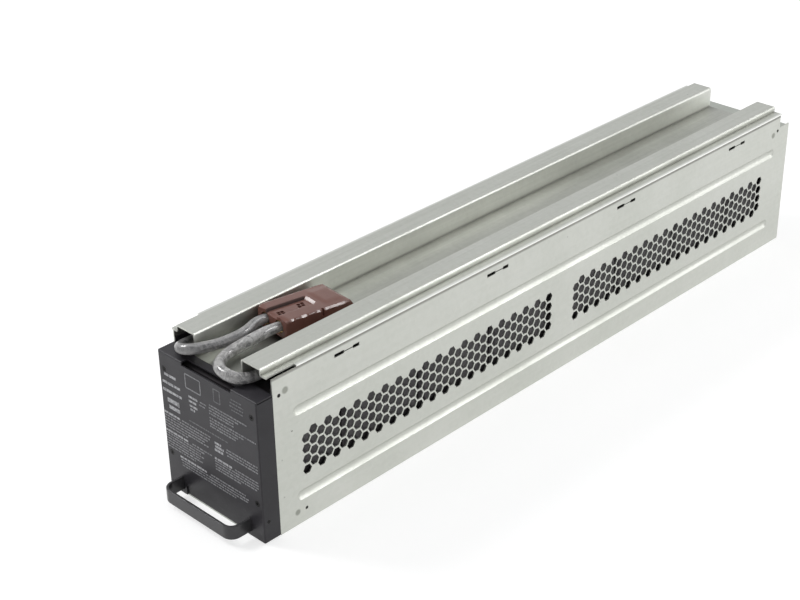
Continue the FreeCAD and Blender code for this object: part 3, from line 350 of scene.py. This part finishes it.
def block(shape, low, high, soft=0.0):
    """A block between two corners, with its edges rounded."""
    corners = bmesh.ops.create_cube(shape, size=1)["verts"]
    for vert in corners:
        vert.co = Vector([low[i] + (high[i] - low[i]) * (vert.co[i] + 0.5) for i in range(3)])
    if soft:
        edges = list({edge for vert in corners for edge in vert.link_edges})
        bmesh.ops.bevel(shape, geom=edges, offset=soft, segments=3, affect="EDGES", profile=0.5)


def build_plug_hollows(shape):
    """What is taken out of the moulding: wire entries, contact mouths, small pits and a gap near the ramp."""
    for x in POLES:
        entry = bmesh.ops.create_cone(shape, cap_ends=True, segments=48, radius1=ENTRY_RADIUS,
                                      radius2=ENTRY_RADIUS, depth=0.03)
        turn = Matrix.Translation((x, 0.0055, PLUG_TALL / 2)) @ Matrix.Rotation(math.radians(90), 4, "X")
        bmesh.ops.transform(shape, matrix=turn, verts=entry["verts"])
    for x in POLES:
        block(shape, (x - 0.006, PLUG_LONG - 0.022, 0.0028), (x + 0.006, PLUG_LONG + 0.002, 0.0112), 0.0007)
    for u, v in PITS:
        block(shape, (u - 0.0012, v - 0.0013, 0.0108), (u + 0.0012, v + 0.0013, 0.016), 0.0003)
    block(shape, (0.0144, SIDE_GAP - 0.0008, 0.0095), (0.018, SIDE_GAP + 0.0008, 0.016), 0.0002)


plug = mesh_object("connector_moulding", build_plug)
plug_hollows = mesh_object("connector_hollows", build_plug_hollows)
hollow = plug.modifiers.new("hollows", "BOOLEAN")
hollow.object = plug_hollows
hollow.operation = "DIFFERENCE"
hollow.solver = "EXACT"
hollow.use_self = True
graph = bpy.context.evaluated_depsgraph_get()
finished = bpy.data.meshes.new_from_object(plug.evaluated_get(graph))
plug.modifiers.clear()
plug.data = finished
bpy.data.objects.remove(plug_hollows)
plug.data.transform(PLUG_TURN)
for face in plug.data.polygons:
    face.use_smooth = True
plug.data.set_sharp_from_angle(angle=math.radians(38))

grain, inlet, outlet = start_group(
    "fine grain",
    [("Place", "NodeSocketVector", (0, 0, 0)), ("Scale", "NodeSocketFloat", 900),
     ("Pits", "NodeSocketFloat", 0.3)],
    [("Height", "NodeSocketFloat")])
noise = grain.nodes.new("ShaderNodeTexNoise")
grain.links.new(inlet["Place"], noise.inputs["Vector"])
grain.links.new(inlet["Scale"], noise.inputs["Scale"])
noise.inputs["Detail"].default_value = 2
cells = grain.nodes.new("ShaderNodeTexVoronoi")
grain.links.new(inlet["Place"], cells.inputs["Vector"])
grain.links.new(inlet["Scale"], cells.inputs["Scale"])
pits = calculate(grain, "MULTIPLY", cells.outputs["Distance"], inlet["Pits"])
grain.links.new(calculate(grain, "ADD", noise.outputs["Fac"], pits), outlet["Height"])

brown, tree, shader, place = start_finish("brown moulding")
patches = use_group(tree, cloud, place, Scale=55, Detail=4)["Share"]
haze = use_group(tree, cloud, place, Scale=210, Detail=2, Low=0.4, High=0.75)["Share"]
moulded = blend_colours(tree, patches, (0.19, 0.082, 0.064), (0.165, 0.068, 0.052))
moulded = blend_colours(tree, calculate(tree, "MULTIPLY", haze, 0.15), moulded, (0.21, 0.125, 0.09))
unturned = tree.nodes.new("ShaderNodeMapping")
unturned.vector_type = "TEXTURE"
unturned.inputs["Location"].default_value = PLUG_START
unturned.inputs["Rotation"].default_value = PLUG_TURN.to_euler()
tree.links.new(place, unturned.inputs["Vector"])
parts = tree.nodes.new("ShaderNodeSeparateXYZ")
tree.links.new(unturned.outputs["Vector"], parts.inputs["Vector"])
# Painted shade: the sunk panel's side wall over the wire half is darkened, and its gloss spread.
from_wall = calculate(tree, "ABSOLUTE", calculate(tree, "ADD", parts.outputs["X"], 0.0063))
corner = calculate(tree, "SUBTRACT", 1.0, calculate(tree, "DIVIDE", from_wall, 0.0016))
wire_half = calculate(tree, "LESS_THAN", parts.outputs["Y"], 0.0300)
painted_wall_shade = calculate(tree, "MULTIPLY", calculate(tree, "MAXIMUM", corner, 0.0), wire_half)
tree.links.new(blend_colours(tree, painted_wall_shade, moulded, (0.025, 0.01, 0.008)), shader.inputs["Base Color"])
satin = calculate(tree, "MULTIPLY_ADD", haze, 0.08, 0.17)
tree.links.new(calculate(tree, "MULTIPLY_ADD", painted_wall_shade, 0.65, satin), shader.inputs["Roughness"])
add_bump(tree, shader, use_group(tree, grain, place, Scale=1300)["Height"], 0.12, 0.00005)
plug.data.materials.append(brown)
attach(plug, "root")
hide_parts("connector_housing")

brass, tree, shader, place = start_finish("dull brass", metallic=1.0)
tarnish = use_group(tree, cloud, place, Scale=160, Detail=4)["Share"]
tree.links.new(blend_colours(tree, tarnish, (0.60, 0.45, 0.19), (0.42, 0.30, 0.13)),
               shader.inputs["Base Color"])
tree.links.new(calculate(tree, "MULTIPLY_ADD", tarnish, 0.2, 0.28), shader.inputs["Roughness"])
give_finish(brass, "contact_left", "contact_right")

# Case: zinc-coated sheet steel, folded and spot-welded. The two side panels have pressed grooves and rows of
# hexagonal vents; the zinc is dull grey with faint crystals, rolling streaks and a few specks.

streaks, inlet, outlet = start_group(
    "zinc coat",
    [("Place", "NodeSocketVector", (0, 0, 0)), ("Stretch", "NodeSocketVector", (1, 0.03, 1)),
     ("Bright", "NodeSocketColor", (0.66, 0.68, 0.65, 1)), ("Dull", "NodeSocketColor", (0.58, 0.60, 0.57, 1)),
     ("Specks", "NodeSocketFloat", 0.5), ("Streaks", "NodeSocketFloat", 0.12)],
    [("Color", "NodeSocketColor"), ("Roughness", "NodeSocketFloat"), ("Height", "NodeSocketFloat")])
rolled = use_group(streaks, cloud, inlet["Place"], Stretch=inlet["Stretch"], Scale=420, Detail=4)["Share"]
wide = use_group(streaks, cloud, inlet["Place"], Scale=14, Detail=5)["Share"]
crystal = streaks.nodes.new("ShaderNodeTexVoronoi")
crystal.inputs["Scale"].default_value = 330
streaks.links.new(inlet["Place"], crystal.inputs["Vector"])
tone = streaks.nodes.new("ShaderNodeSeparateColor")
streaks.links.new(crystal.outputs["Color"], tone.inputs["Color"])
mixed = calculate(streaks, "MULTIPLY_ADD", wide, 0.55, calculate(streaks, "MULTIPLY", rolled, inlet["Streaks"]))
mixed = calculate(streaks, "MULTIPLY_ADD", tone.outputs["Red"], 0.2, mixed)
sheet_colour = blend_colours(streaks, mixed, inlet["Bright"], inlet["Dull"])
speck_cells = streaks.nodes.new("ShaderNodeTexVoronoi")
speck_cells.inputs["Scale"].default_value = 70
streaks.links.new(inlet["Place"], speck_cells.inputs["Vector"])
dot = calculate(streaks, "LESS_THAN", speck_cells.outputs["Distance"], 0.045)
speck_tone = streaks.nodes.new("ShaderNodeSeparateColor")
streaks.links.new(speck_cells.outputs["Color"], speck_tone.inputs["Color"])
rare = calculate(streaks, "GREATER_THAN", speck_tone.outputs["Green"], 0.8)
speck = calculate(streaks, "MULTIPLY", calculate(streaks, "MULTIPLY", dot, rare), inlet["Specks"])
streaks.links.new(blend_colours(streaks, speck, sheet_colour, (0.25, 0.25, 0.24)), outlet["Color"])
rough = calculate(streaks, "MULTIPLY_ADD", rolled, 0.05, 0.36)
rough = calculate(streaks, "MULTIPLY_ADD", wide, 0.08, rough)
streaks.links.new(calculate(streaks, "MULTIPLY_ADD", tone.outputs["Red"], 0.05, rough), outlet["Roughness"])
streaks.links.new(calculate(streaks, "MULTIPLY_ADD", tone.outputs["Green"], 0.25, rolled), outlet["Height"])

spot, inlet, outlet = start_group(
    "round mark",
    [("Place", "NodeSocketVector", (0, 0, 0)), ("Centre", "NodeSocketVector", (0, 0, 0)),
     ("Radius", "NodeSocketFloat", 0.003), ("Softness", "NodeSocketFloat", 0.0012)],
    [("Mask", "NodeSocketFloat")])
offset = spot.nodes.new("ShaderNodeVectorMath")
offset.operation = "SUBTRACT"
spot.links.new(inlet["Place"], offset.inputs[0])
spot.links.new(inlet["Centre"], offset.inputs[1])
flat = spot.nodes.new("ShaderNodeVectorMath")
flat.operation = "MULTIPLY"
flat.inputs[1].default_value = (0, 1, 1)
spot.links.new(offset.outputs["Vector"], flat.inputs[0])
far = spot.nodes.new("ShaderNodeVectorMath")
far.operation = "LENGTH"
spot.links.new(flat.outputs["Vector"], far.inputs[0])
past = calculate(spot, "SUBTRACT", far.outputs["Value"], inlet["Radius"])
share = calculate(spot, "DIVIDE", past, inlet["Softness"])
faded = spot.nodes.new("ShaderNodeClamp")
spot.links.new(calculate(spot, "SUBTRACT", 1.0, share), faded.inputs["Value"])
spot.links.new(faded.outputs["Result"], outlet["Mask"])

# A mask along a straight line at a side and a level, for painted shade and painted highlights.
seam, inlet, outlet = start_group(
    "painted shade and highlight line",
    [("Place", "NodeSocketVector", (0, 0, 0)), ("Side", "NodeSocketFloat", 0.04),
     ("Level", "NodeSocketFloat", 0.1), ("Reach", "NodeSocketFloat", 0.002)],
    [("Mask", "NodeSocketFloat")])
parts = seam.nodes.new("ShaderNodeSeparateXYZ")
seam.links.new(inlet["Place"], parts.inputs["Vector"])
aside = calculate(seam, "SUBTRACT", calculate(seam, "ABSOLUTE", parts.outputs["X"]), inlet["Side"])
above = calculate(seam, "SUBTRACT", parts.outputs["Z"], inlet["Level"])
away = calculate(seam, "SQRT", calculate(seam, "ADD", calculate(seam, "MULTIPLY", aside, aside),
                                         calculate(seam, "MULTIPLY", above, above)))
near = seam.nodes.new("ShaderNodeClamp")
seam.links.new(calculate(seam, "SUBTRACT", 1.0, calculate(seam, "DIVIDE", away, inlet["Reach"])),
               near.inputs["Value"])
seam.links.new(near.outputs["Result"], outlet["Mask"])


def zinc_finish(name, bright, dull, marks=(), painted_lines=(), stretch=(1, 0.03, 1), streaky=0.12):
    """Zinc-coated sheet with greyish weld marks (y, z, radius) and long painted lines (side, level, reach,
    depth).

    A depth above 0 paints shade into a seam or a crease, and one below 0 paints a highlight along an edge.
    """
    material, tree, shader, place = start_finish(name, metallic=1.0)
    coat = use_group(tree, streaks, place, Bright=(*bright, 1), Dull=(*dull, 1), Stretch=stretch,
                     Streaks=streaky)
    colour, rough = coat["Color"], coat["Roughness"]
    # Painted shade along a line where depth is above 0, and a painted highlight where it is below 0.
    for side, level, reach, depth in painted_lines:
        mask = use_group(tree, seam, place, Side=side, Level=level, Reach=reach)["Mask"]
        tone = (0.09, 0.085, 0.075) if depth > 0 else (0.95, 0.96, 0.93)
        colour = blend_colours(tree, calculate(tree, "MULTIPLY", mask, abs(depth)), colour, tone)
    for y, z, radius in marks:
        mask = use_group(tree, spot, place, Centre=(0, y + PANEL_FRONT, z), Radius=radius)["Mask"]
        colour = blend_colours(tree, calculate(tree, "MULTIPLY", mask, 0.8), colour, (0.27, 0.28, 0.245))
        rough = calculate(tree, "MULTIPLY_ADD", mask, 0.12, rough)
    tree.links.new(colour, shader.inputs["Base Color"])
    tree.links.new(rough, shader.inputs["Roughness"])
    add_bump(tree, shader, coat["Height"], 0.12, 0.00012)
    return material


CASE_SIDE = 0.0485
# Painted shadow: a dark line along the top of each side panel, under the cover's lap.
panel_zinc = zinc_finish("zinc on the side panels", (0.605, 0.615, 0.575), (0.545, 0.56, 0.515),
                         marks=[(0.0105, 0.107, 0.0019), (0.0155, 0.010, 0.0016), (0.562, 0.104, 0.0018)],
                         painted_lines=[(CASE_SIDE, 0.1190, 0.0020, 1.0)])
give_finish(panel_zinc, "left_side_panel", "right_side_panel")
inner_zinc = zinc_finish("zinc inside the case", (0.52, 0.54, 0.50), (0.45, 0.47, 0.43))
give_finish(inner_zinc, "base_plate", "rear_end_plate")

# Cover: one folded zinc-coated sheet with two hollow rails that the leads run through and a trough for the
# connector. Its long rolling streaks run along the rails. Painted shade darkens the trough's floor, most of all
# towards its walls, with random smears in it, and painted light brightens the trough's walls. Painted shade
# lines run in the creases at the rails' outer feet and along the trough's floor, and a painted highlight runs
# along the cover's outer edges.

RAIL_SIDE, LEDGE_LEVEL = 0.0413, 0.1206
TROUGH_SIDE, TROUGH_LEVEL = 0.0228, 0.1080
WALL_MIDDLE, WALL_HALF = 0.1167, 0.0075
# Painted shade in the creases at the rails' outer feet and along the trough's floor by its walls, and a painted
# highlight along the cover's outer edges.
cover_zinc = zinc_finish("zinc on the cover", (0.615, 0.625, 0.585), (0.51, 0.52, 0.48),
                         painted_lines=[(RAIL_SIDE, LEDGE_LEVEL, 0.0026, 0.5), (TROUGH_SIDE, TROUGH_LEVEL, 0.0022, 0.5),
                                (CASE_SIDE, 0.1202, 0.0024, -0.9)],
                         stretch=(1, 0.02, 1), streaky=0.35)
tree = cover_zinc.node_tree
shader = tree.nodes["Principled BSDF"]
cover_base_colour = shader.inputs["Base Color"].links[0].from_socket
place = tree.nodes.new("ShaderNodeTexCoord").outputs["Object"]
parts = tree.nodes.new("ShaderNodeSeparateXYZ")
tree.links.new(place, parts.inputs["Vector"])
aside = calculate(tree, "ABSOLUTE", parts.outputs["X"])
# Painted shade on the trough's floor, stronger towards its walls, mixed with random smears.
inside = remap(tree, aside, TROUGH_SIDE - 0.0001, TROUGH_SIDE - 0.0006)
smears = use_group(tree, cloud, place, Scale=30, Detail=5, Stretch=(1, 0.25, 1), Low=0.3, High=0.7)["Share"]
shade_toward_walls = remap(tree, aside, 0.0115, TROUGH_SIDE - 0.0002, 0.24, 0.8)
dull = calculate(tree, "MULTIPLY", inside, calculate(tree, "MULTIPLY_ADD", smears, 0.2, shade_toward_walls))
shaded_floor_colour = blend_colours(tree, dull, cover_base_colour, (0.2, 0.2, 0.18))
# Painted light on the trough's walls: a lighter zinc colour there.
painted_wall_light = calculate(tree, "MULTIPLY", calculate(tree, "COMPARE", aside, TROUGH_SIDE, 0.0003),
                    calculate(tree, "COMPARE", parts.outputs["Z"], WALL_MIDDLE, WALL_HALF))
tree.links.new(blend_colours(tree, calculate(tree, "MULTIPLY", painted_wall_light, 0.2), shaded_floor_colour, (0.85, 0.86, 0.82)),
               shader.inputs["Base Color"])
give_finish(cover_zinc, "top_cover")

# Front bezel: folded sheet with a fine black powder coat, screwed over the front end plate. Rows of thin pale
# ink bars and two empty boxes are printed on it.

powder, tree, shader, place = start_finish("black powder coat")
shade = use_group(tree, cloud, place, Scale=38, Detail=4)["Share"]
rubbed = use_group(tree, cloud, place, Scale=300, Detail=5, Low=0.62, High=0.8)["Share"]
coat = blend_colours(tree, shade, (0.042, 0.040, 0.046), (0.035, 0.033, 0.038))
shader.inputs["Specular IOR Level"].default_value = 0.3
tree.links.new(blend_colours(tree, calculate(tree, "MULTIPLY", rubbed, 0.25), coat, (0.11, 0.11, 0.115)),
               shader.inputs["Base Color"])
tree.links.new(calculate(tree, "MULTIPLY_ADD", shade, 0.08, 0.34), shader.inputs["Roughness"])
add_bump(tree, shader, use_group(tree, grain, place, Scale=1500, Pits=0.6)["Height"], 0.3, 0.0001)
give_finish(powder, "bezel", "front_end_plate")

BEZEL_DEPTH = 0.0138
BEZEL_FACE = PANEL_FRONT - BEZEL_DEPTH
INK_HALF = 0.00004
ink_dice = random.Random(41)


def ink_bar(shape, left, right, level, tall):
    """One thin raised bar of ink on the bezel's face."""
    block(shape, (left, BEZEL_FACE - INK_HALF, level - tall / 2),
          (right, BEZEL_FACE + INK_HALF, level + tall / 2))


def ink_row(shape, left, right, level, tall):
    """A row of short bars with small gaps, in millimetres from the middle and from the floor."""
    here = left
    while here < right - 0.8:
        end = min(right, here + ink_dice.uniform(1.1 * tall, 3.6 * tall))
        ink_bar(shape, here / 1000, end / 1000, level / 1000, tall * ink_dice.uniform(0.88, 1.08) / 1000)
        here = end + ink_dice.uniform(0.4, 0.75)


BOLD_ROWS = [(-43.5, -31, 92, 2.1), (-46, -28, 85.6, 2.1), (-46.5, -27, 79.4, 2.1), (-42.5, -30.5, 72.4, 3.6),
             (-41.5, -29.5, 67.2, 3.2), (-47.5, -31, 61.3, 1.6), (-47.5, -24, 46.9, 1.6), (3, 20, 46.8, 1.6),
             (-34.5, -7, 30.6, 1.6), (4, 10.5, 59.3, 1.8), (4.5, 13, 56.6, 1.8), (3.6, 12, 53.8, 1.8),
             (-19.5, -10, 84.6, 1.6), (-19.5, -12, 81.2, 1.6), (-19, -10.5, 77.8, 1.6), (-18.5, -14, 75, 1.6)]
PLAIN_ROWS = [(left, right, level, 1.05) for left, right, level in (
    (-29, 0.5, 61.3), (-47.5, -1, 58.9), (-47.5, -3, 56.7), (-47.5, -6, 54.5), (-47.5, -2, 52.3),
    (-47.5, -24, 50.1), (-20, 0, 46.9), (-47.5, -8, 44.7), (-47.5, -12, 42.6), (-47.5, -9, 40.5),
    (-47.5, -13, 38.4), (-47.5, -10, 36.3), (-47, -18, 34.2), (1.5, 38, 87), (1, 30, 84.8), (1, 26, 82.6),
    (1, 25, 80.5), (1, 46, 77.2), (1, 34, 75), (1, 29, 72.8), (1, 27, 70.7), (16, 46, 59), (15, 46, 56.8),
    (16, 46, 54.6), (23, 46, 46.8), (3, 46, 44.6), (3, 46, 42.5), (3, 44, 40.4), (3, 29, 38.3), (-3, 32, 30.6),
    (-34, 35, 28.3), (-33, 34, 26.2), (-33, 22, 24.1), (-8, -1, 84.8), (-9, -2, 82.4))]
FAINT_ROWS = [(-21, 18, 65.2, 1.0), (24, 34, 101, 1.0), (23, 36, 98.4, 1.0), (22.5, 37, 95.8, 1.0),
              (24, 35, 93.2, 1.0)]
BOLD_INK = (0.70, 0.70, 0.72), (0.40, 0.40, 0.42)
PLAIN_INK = (0.42, 0.42, 0.44), (0.24, 0.24, 0.25)
FAINT_INK = (0.26, 0.26, 0.27), (0.14, 0.14, 0.15)


def build_print(rows, frames):
    """All the bars of one strength, and the outlines of empty boxes, in millimetres."""
    def build(shape):
        for left, right, level, tall in rows:
            ink_row(shape, left, right, level, tall)
        for left, right, low, high, line in frames:
            for level in (low, high):
                ink_bar(shape, left / 1000, right / 1000, level / 1000, line / 1000)
            for side in (left, right):
                block(shape, ((side - line / 2) / 1000, BEZEL_FACE - INK_HALF, low / 1000),
                      ((side + line / 2) / 1000, BEZEL_FACE + INK_HALF, high / 1000))
    return build


def ink_finish(name, fresh, worn):
    """Screen-printed ink, thin enough for the black coat to show through in places."""
    material, tree, shader, place = start_finish(name, roughness=0.6)
    thin = use_group(tree, cloud, place, Scale=620, Detail=4, Low=0.4, High=0.62)["Share"]
    tree.links.new(blend_colours(tree, thin, fresh, worn), shader.inputs["Base Color"])
    add_bump(tree, shader, use_group(tree, grain, place, Scale=1500)["Height"], 0.2, 0.0001)
    return material


for name, rows, frames, (fresh, worn) in (
        ("print_bold", BOLD_ROWS, (), BOLD_INK),
        ("print_plain", PLAIN_ROWS, ((-21.5, -6.5, 90.5, 101, 0.9),), PLAIN_INK),
        ("print_faint", FAINT_ROWS, ((7, 13, 92, 101.5, 0.8),), FAINT_INK)):
    marks = mesh_object(name, build_print(rows, frames))
    marks.data.materials.append(ink_finish(name.replace("_", " "), fresh, worn))
    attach(marks, "root")

# Screws and rivets: small countersunk screws in blackened steel hold the bezel, and plain rivets hold the
# handle's feet behind the front end plate.

blackened, tree, shader, place = start_finish("blackened steel", metallic=1.0, roughness=0.4)
oxide = use_group(tree, cloud, place, Scale=700, Detail=3)["Share"]
tree.links.new(blend_colours(tree, oxide, (0.012, 0.012, 0.013), (0.035, 0.034, 0.033)),
               shader.inputs["Base Color"])
add_bump(tree, shader, use_group(tree, grain, place, Scale=2400)["Height"], 0.2, 0.00006)
give_finish(blackened, "face_screws", "side_screws", "handle_rivets")

# Handle: a steel strip bent to a U under a smooth semi-gloss black coat, a little rubbed in places. Its legs
# pass under the bezel's toe to its feet.

gloss, tree, shader, place = start_finish("black handle coat")
worn = use_group(tree, cloud, place, Scale=240, Detail=5, Low=0.6, High=0.78)["Share"]
flow = use_group(tree, cloud, place, Scale=80, Detail=2)["Share"]
tree.links.new(blend_colours(tree, calculate(tree, "MULTIPLY", worn, 0.3), (0.05, 0.049, 0.052),
                             (0.13, 0.128, 0.125)), shader.inputs["Base Color"])
tree.links.new(calculate(tree, "MULTIPLY_ADD", worn, 0.15, 0.3), shader.inputs["Roughness"])
add_bump(tree, shader, flow, 0.12, 0.0003)
give_finish(gloss, "handle")

# Batteries: eight sealed blocks with dark grey moulded cases and lids, packed with closed-cell foam and
# standing on a stiff insulating sheet.

case_plastic, tree, shader, place = start_finish("dark battery case")
mould = use_group(tree, cloud, place, Scale=45, Detail=4)["Share"]
tree.links.new(blend_colours(tree, mould, (0.078, 0.071, 0.077), (0.058, 0.053, 0.058)),
               shader.inputs["Base Color"])
tree.links.new(calculate(tree, "MULTIPLY_ADD", mould, 0.12, 0.4), shader.inputs["Roughness"])
add_bump(tree, shader, use_group(tree, grain, place, Scale=1100)["Height"], 0.3, 0.00012)
give_finish(case_plastic, *[f"battery_{number}" for number in range(1, 9)])

foam, tree, shader, place = start_finish("closed-cell foam", roughness=0.9)
bubbles = use_group(tree, cloud, place, Scale=500, Detail=3)["Share"]
tree.links.new(blend_colours(tree, bubbles, (0.085, 0.078, 0.083), (0.055, 0.051, 0.055)),
               shader.inputs["Base Color"])
add_bump(tree, shader, use_group(tree, grain, place, Scale=700, Pits=1.0)["Height"], 0.7, 0.0004)
give_finish(foam, *[name for name in cad_nodes if "foam" in name])

liner, tree, shader, place = start_finish("insulating liner", roughness=0.6)
fibres = use_group(tree, cloud, place, Scale=260, Detail=4, Stretch=(1, 0.15, 1))["Share"]
tree.links.new(blend_colours(tree, fibres, (0.66, 0.64, 0.58), (0.5, 0.48, 0.43)), shader.inputs["Base Color"])
add_bump(tree, shader, fibres, 0.2, 0.0002)
give_finish(liner, "base_liner")

# Tabs and links: tinned tabs in the batteries' lids, and insulated cables with crimped lugs that join them
# in series.

tin, tree, shader, place = start_finish("tinned tab", metallic=1.0)
dulled = use_group(tree, cloud, place, Scale=320, Detail=3)["Share"]
tree.links.new(blend_colours(tree, dulled, (0.76, 0.75, 0.72), (0.6, 0.59, 0.57)),
               shader.inputs["Base Color"])
tree.links.new(calculate(tree, "MULTIPLY_ADD", dulled, 0.15, 0.25), shader.inputs["Roughness"])
give_finish(tin, "battery_tabs")

cable, tree, shader, place = start_finish("black link cable", roughness=0.42)
dusty = use_group(tree, cloud, place, Scale=120, Detail=4)["Share"]
tree.links.new(blend_colours(tree, dusty, (0.035, 0.034, 0.036), (0.06, 0.058, 0.057)),
               shader.inputs["Base Color"])
add_bump(tree, shader, use_group(tree, grain, place, Scale=900)["Height"], 0.2, 0.0001)
give_finish(cable, *[f"series_link_{number}" for number in range(1, 8)])

# Floor and light: a plain pale floor that keeps the case's soft shadow, soft lamps in front, above and behind,
# a tall reflector at the right rear for the pressed grooves, a small lamp for the connector's near edge, and a
# surrounding that is white low down and greyer overhead.


def camera_share(tree):
    """1 for what the camera sees, straight or in something shiny or clear, and 0 for the light on things."""
    rays = tree.nodes.new("ShaderNodeLightPath")
    seen = calculate(tree, "ADD", rays.outputs["Is Camera Ray"], rays.outputs["Is Glossy Ray"])
    return calculate(tree, "ADD", seen, rays.outputs["Is Transmission Ray"])


floor = mesh_object("floor", lambda shape: bmesh.ops.create_grid(shape, x_segments=2, y_segments=2, size=12))
floor.location = (0, 0, -0.0002)
paper = bpy.data.materials.new("pale floor")
paper.use_nodes = True
tree = paper.node_tree
tree.nodes.remove(tree.nodes["Principled BSDF"])
matte = tree.nodes.new("ShaderNodeBsdfDiffuse")
matte.inputs["Color"].default_value = (0.5, 0.5, 0.5, 1)
glow = tree.nodes.new("ShaderNodeEmission")
tree.links.new(calculate(tree, "MULTIPLY", camera_share(tree), 0.68), glow.inputs["Strength"])
both = tree.nodes.new("ShaderNodeAddShader")
tree.links.new(matte.outputs["BSDF"], both.inputs[0])
tree.links.new(glow.outputs["Emission"], both.inputs[1])
tree.links.new(both.outputs["Shader"], tree.nodes["Material Output"].inputs["Surface"])
floor.data.materials.append(paper)

world = bpy.data.worlds.new("pale surrounding")
world.use_nodes = True
tree = world.node_tree
background = tree.nodes["Background"]
heading = tree.nodes.new("ShaderNodeSeparateXYZ")
tree.links.new(tree.nodes.new("ShaderNodeTexCoord").outputs["Generated"], heading.inputs["Vector"])
climb = remap(tree, heading.outputs["Z"], 0.05, 0.75)
tree.links.new(blend_colours(tree, climb, (1, 1, 1), (0.55, 0.56, 0.57)), background.inputs["Color"])
tree.links.new(calculate(tree, "MULTIPLY_ADD", camera_share(tree), 0.45, 0.55), background.inputs["Strength"])
bpy.context.scene.world = world


def soft_lamp(name, spot, aim, wide, tall, power):
    """A soft lamp with a flat front that looks at a point."""
    data = bpy.data.lights.new(name, "AREA")
    data.shape = "RECTANGLE"
    data.size, data.size_y = wide, tall
    data.energy = power
    lamp = bpy.data.objects.new(name, data)
    lamp.location = spot
    lamp.rotation_mode = "QUATERNION"
    lamp.rotation_quaternion = (Vector(aim) - Vector(spot)).to_track_quat("-Z", "Y")
    bpy.context.scene.collection.objects.link(lamp)
    return lamp


soft_lamp("front_lamp", (-1.58, -0.88, 1.68), (0, -0.1, 0.05), wide=0.7, tall=0.7, power=23)
soft_lamp("top_lamp", (-0.2, 0.1, 2.3), (0, 0, 0.05), wide=1.6, tall=1.6, power=9)
soft_lamp("rear_lamp", (0.35, 1.6, 1.9), (0, 0, 0.05), wide=0.8, tall=0.8, power=7)
edge_light = soft_lamp("edge_lamp", (1.14, 0.98, 1.66), (0, -0.22, 0.11), wide=0.4, tall=0.4, power=8)
reflector = soft_lamp("side_reflector", (1.75, 1.45, 0.75), (0, 0, 0.1), wide=1.7, tall=1.5, power=12)
for lamp in (edge_light, reflector):
    lamp.visible_diffuse = False
bpy.context.scene.view_settings.view_transform = "Standard"
